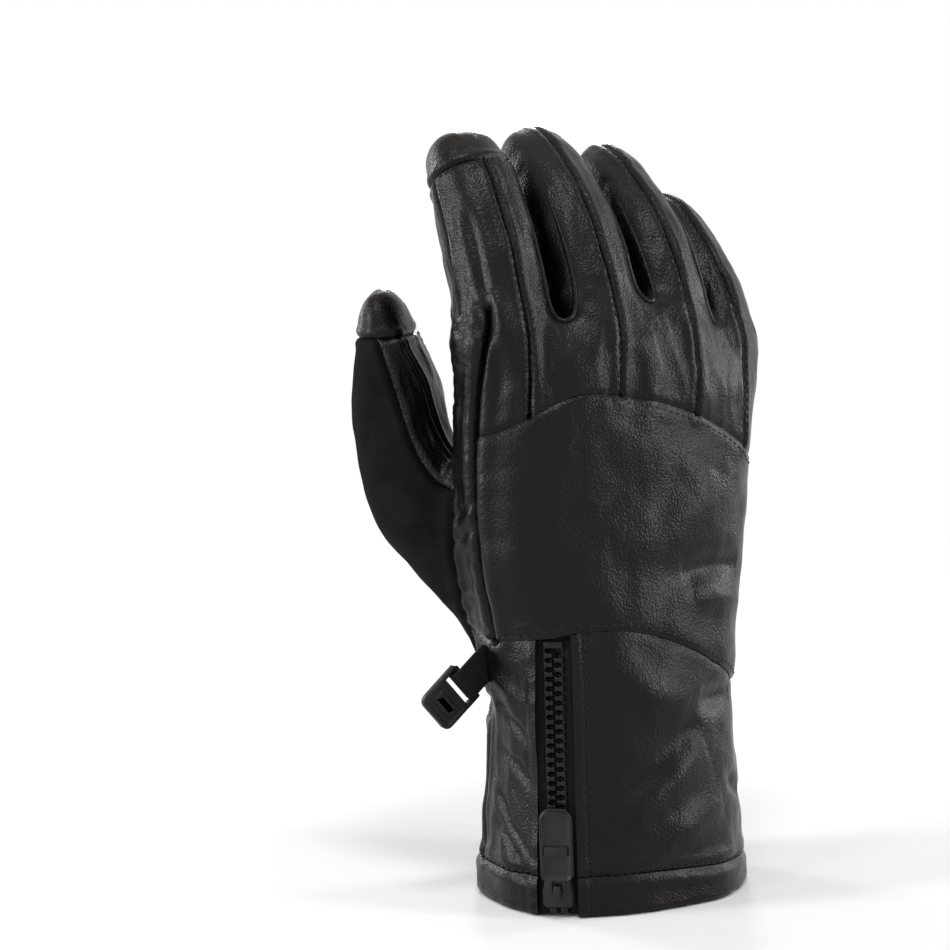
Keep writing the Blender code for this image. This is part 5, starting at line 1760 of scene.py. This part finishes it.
def fabric_finish(name, colour, other, size, depth):
    """Soft pile or wadding."""
    finish = Finish(name, colour, 0.95, reflection=0.15)
    finish.set(finish.shader, **{"Sheen Weight": 0.15, "Sheen Roughness": 0.6})
    pile = finish.pattern("TexVoronoi", size)
    fuzz = finish.pattern("TexNoise", size * 0.35, Detail=4.0)
    finish.vary_colour(finish.spread(pile.outputs["Distance"], 0.1, 0.7), other)
    finish.bump(pile.outputs["Distance"], depth)
    finish.bump(fuzz.outputs["Fac"], depth * 0.5)
    return finish.material


def woven_finish(name, colour, other, thread):
    """A flat weave laid out along the piece, in millimetres of its own layout."""
    finish = Finish(name, colour, 0.8, reflection=0.05)
    both = finish.add("Math")
    both.operation = "MULTIPLY"
    for number, direction in enumerate("XY"):
        threads = finish.pattern("TexWave", thread / WAVES_PER_THREAD, layout="UV", Distortion=0.4)
        threads.bands_direction = direction
        finish.link(threads.outputs["Fac"], both.inputs[number])
    finish.vary_colour(both.outputs["Value"], other)
    finish.bump(both.outputs["Value"], 0.00012)
    return finish.material


def hard_finish(name, colour, other, roughness, metallic, reflection):
    """Moulded or painted surface with a fine texture and worn patches."""
    finish = Finish(name, colour, roughness, metallic, reflection)
    speckle = finish.pattern("TexNoise", 0.0004, Detail=2.0)
    worn = finish.pattern("TexNoise", 0.004, Detail=3.0)
    finish.vary_colour(finish.spread(worn.outputs["Fac"], 0.4, 0.8), other)
    finish.vary_roughness(worn.outputs["Fac"], 0.3, 0.7, roughness + 0.05, roughness - 0.05)
    finish.bump(speckle.outputs["Fac"], 0.00003)
    return finish.material


def make_finishes():
    return {
        "leather": leather_finish("leather", colour=(0.0016, 0.0014, 0.0013),
                                  lighter=(0.0034, 0.0028, 0.0026), roughness=0.31, grain=0.0008,
                                  depth=0.000095, reflection=0.19),
        "smooth leather": leather_finish("smooth_leather", colour=(0.0016, 0.0014, 0.0014),
                                         lighter=(0.0030, 0.0025, 0.0024), roughness=0.34, grain=0.0007,
                                         depth=0.00006, reflection=0.15),
        "suede": suede_finish(),
        "padding": fabric_finish("padding", colour=(0.11, 0.11, 0.105), other=(0.077, 0.077, 0.075),
                                 size=0.003, depth=0.0004),
        "fleece": fabric_finish("fleece", colour=(0.048, 0.048, 0.052), other=(0.075, 0.075, 0.079),
                                size=0.0018, depth=0.0005),
        "tape": woven_finish("zip_tape", colour=(0.0066, 0.0066, 0.0066), other=(0.0175, 0.0175, 0.0175),
                             thread=0.7),
        "webbing": woven_finish("webbing", colour=(0.009, 0.009, 0.009), other=(0.026, 0.026, 0.026),
                                thread=1.0),
        "thread": hard_finish("thread", colour=(0.0060, 0.0056, 0.0052), other=(0.012, 0.0112, 0.0104),
                              roughness=0.36, metallic=0.0, reflection=0.20),
        "plastic": hard_finish("moulded_plastic", colour=(0.0075, 0.0075, 0.0079),
                               other=(0.012, 0.012, 0.012), roughness=0.32, metallic=0.0,
                               reflection=0.20),
        "soft plastic": hard_finish("soft_plastic", colour=(0.012, 0.012, 0.0125),
                                    other=(0.0185, 0.0185, 0.0185), roughness=0.40, metallic=0.0,
                                    reflection=0.22),
        "painted metal": hard_finish("painted_metal", colour=(0.010, 0.010, 0.0105),
                                     other=(0.020, 0.020, 0.020), roughness=0.32, metallic=0.2,
                                     reflection=0.30),
    }


# Rows of stitches

def add_stitches(cage, leather, finishes, digits):
    """Rows beside the seams of the fingers, overlay, hem, zip, wrist elastic and thumb."""
    thread = Thread(leather)
    rings, top = cage.rings, HAND_RINGS
    for n, name in enumerate(FINGER_NAMES):
        loops = cage.finger_loops[n]
        column = 2 * n + 1
        hand = [rings[row][column] for row in range(OVERLAY_TOP_RING, top + 1)] + [loops[1][1]]
        finger = [loop[1] for loop in loops[1:-1]]
        for side in (-1, 1):
            thread.row("hand", hand, side * STITCH_INSET["seam"])
            thread.row(name, finger, side * STITCH_INSET["seam"])
    index = cage.finger_loops[0][len(FINGER_RINGS) - 1]
    thread.row("index", [index[i] for i in (7, 0, 1, 2, 3)], STITCH_INSET["seam"])
    thread.row("hand", rings[OVERLAY_TOP_RING][:LITTLE_EDGE + 1], STITCH_INSET["lap"])
    thread.row("hand", rings[CUFF_RINGS][:LITTLE_EDGE + 1], -STITCH_INSET["lap"])
    hem = rings[1]
    thread.row("hand", hem[ZIP_COLUMN + 1:] + hem[:ZIP_COLUMN + 1], -STITCH_INSET["hem"])
    side = [rings[row][ZIP_COLUMN + 1] for row in range(CUFF_RINGS + 1)]
    thread.row("hand", side, STITCH_INSET["opening"])
    for row in (ELASTIC_ROW, ELASTIC_ROW + 1):
        thread.row("hand", rings[row][LITTLE_EDGE:THUMB_EDGE + 1], 0.0)
    thumb = cage.thumb_loops
    for column, side in ((4, 1), (7, -1)):
        line = [loop[column] for loop in thumb[:len(THUMB_PATH)]]
        thread.row("thumb", line, side * STITCH_INSET["seam"])
    thread.add(finishes["thread"], digits)


# Floor, light and camera

def seen_directly(tree):
    """One for rays from the camera, off a shiny surface or through a clear one, else nought."""
    path = tree.nodes.new("ShaderNodeLightPath")
    result = path.outputs["Is Camera Ray"]
    for kind in ("Is Glossy Ray", "Is Transmission Ray"):
        either = tree.nodes.new("ShaderNodeMath")
        either.operation = "MAXIMUM"
        tree.links.new(result, either.inputs[0])
        tree.links.new(path.outputs[kind], either.inputs[1])
        result = either.outputs["Value"]
    return result


def floor_finish():
    """A pale floor that turns white away from the glove."""
    finish = Finish("floor", (0.88, 0.88, 0.88), 0.9, reflection=0.1)
    mottle = finish.pattern("TexNoise", 0.02, Detail=2.0)
    finish.vary_colour(mottle.outputs["Fac"], (0.87, 0.87, 0.87))
    distance = finish.add("VectorMath")
    distance.operation = "LENGTH"
    finish.link(finish.places.outputs["Object"], distance.inputs[0])
    far = finish.spread(distance.outputs["Value"], *FLOOR_WHITENS)
    white = finish.add("Math")
    white.operation = "MULTIPLY"
    finish.link(far, white.inputs[0])
    finish.link(seen_directly(finish.tree), white.inputs[1])
    glow = finish.add("Emission")
    blend = finish.add("MixShader")
    finish.link(white.outputs["Value"], blend.inputs["Fac"])
    finish.link(finish.shader.outputs["BSDF"], blend.inputs[1])
    finish.link(glow.outputs["Emission"], blend.inputs[2])
    finish.link(blend.outputs["Shader"], finish.tree.nodes["Material Output"].inputs["Surface"])
    return finish.material


def add_floor():
    shape = bmesh.new()
    bmesh.ops.create_grid(shape, x_segments=1, y_segments=1, size=FLOOR_SIZE)
    mesh = bpy.data.meshes.new("floor")
    shape.to_mesh(mesh)
    shape.free()
    mesh.materials.append(floor_finish())
    floor = bpy.data.objects.new("floor", mesh)
    floor.location.z = -FLOOR_DROP
    bpy.context.scene.collection.objects.link(floor)


def add_world():
    """A plain white surround that lights the glove softly and shows white where it is seen."""
    world = bpy.data.worlds.new("studio")
    world.use_nodes = True
    nodes, links = world.node_tree.nodes, world.node_tree.links
    background = nodes["Background"]
    background.inputs["Color"].default_value = (1, 1, 1, 1)
    level = nodes.new("ShaderNodeMapRange")
    level.inputs["To Min"].default_value = WORLD_LEVEL
    links.new(seen_directly(world.node_tree), level.inputs["Value"])
    links.new(level.outputs["Result"], background.inputs["Strength"])
    bpy.context.scene.world = world


def add_lamps():
    for name, place, size, power in LAMPS:
        data = bpy.data.lights.new(name, "AREA")
        data.shape = "RECTANGLE"
        data.size, data.size_y = size
        data.energy = power
        lamp = bpy.data.objects.new(name, data)
        lamp.location = place
        lamp.rotation_euler = (Vector(LAMP_AIM) - lamp.location).to_track_quat("-Z", "Y").to_euler()
        bpy.context.scene.collection.objects.link(lamp)


def add_camera(eye):
    data = bpy.data.cameras.new("camera")
    data.lens = CAMERA_LENS
    data.sensor_width = SENSOR_WIDTH
    camera = bpy.data.objects.new("camera", data)
    camera.location = eye.place
    camera.rotation_euler = eye.forward.to_track_quat("-Z", "Y").to_euler()
    bpy.context.scene.collection.objects.link(camera)
    bpy.context.scene.camera = camera


def main():
    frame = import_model()
    cage = build_cage()
    skin = Skin(cage, LEATHER_LEVELS)
    skin.find_lines()
    places = {joint["name"]: Vector(joint["pos_m"]) for joint in frame["joints"] if "pos_m" in joint}
    inner_edge = cage.rings[THUMB_ROWS[0] + 1][THUMB_COLUMNS[0]]
    shift = places["thumb_swing"] - Vector(skin.points[inner_edge])
    shift.z = 0
    skin.move(shift)
    eye = Eye(shift)
    finishes = make_finishes()
    digits = make_digits(shift)
    relief = Relief(skin)
    relief.add_seams()
    index, thumb = cage.finger_loops[0], cage.thumb_loops
    relief.add_ridge(skin.points[skin.line([loop[0] for loop in index[:4]])], *INDEX_GROOVE)
    relief.add_chain("welt", [loop[5] for loop in thumb[1:-1]])
    relief.add_folds(eye, shift.x)
    relief.add_gathers(shift.x)
    relief.add_unevenness()
    relief.add_wrinkles()
    relief.add_creases("thumb_side_panel")
    relief.round_hem()
    zip_frame = ZipFrame(cage, skin)
    leather = Leather(skin, relief, zip_frame, finishes, digits)
    leather.add_panels(cage)
    coarse = Skin(cage, LAYER_LEVELS)
    coarse.move(shift)
    add_layers(cage, coarse, leather, zip_frame, finishes, digits)
    add_rims(cage, leather, finishes, digits)
    add_stitches(cage, leather, finishes, digits)
    add_zip(zip_frame, finishes)
    strap = strap_matrix(places["buckle_tilt"])
    add_strap(strap, finishes)
    add_buckle(strap, finishes)
    bpy.context.scene.view_settings.view_transform = "Standard"
    add_floor()
    add_world()
    add_lamps()
    add_camera(eye)


main()
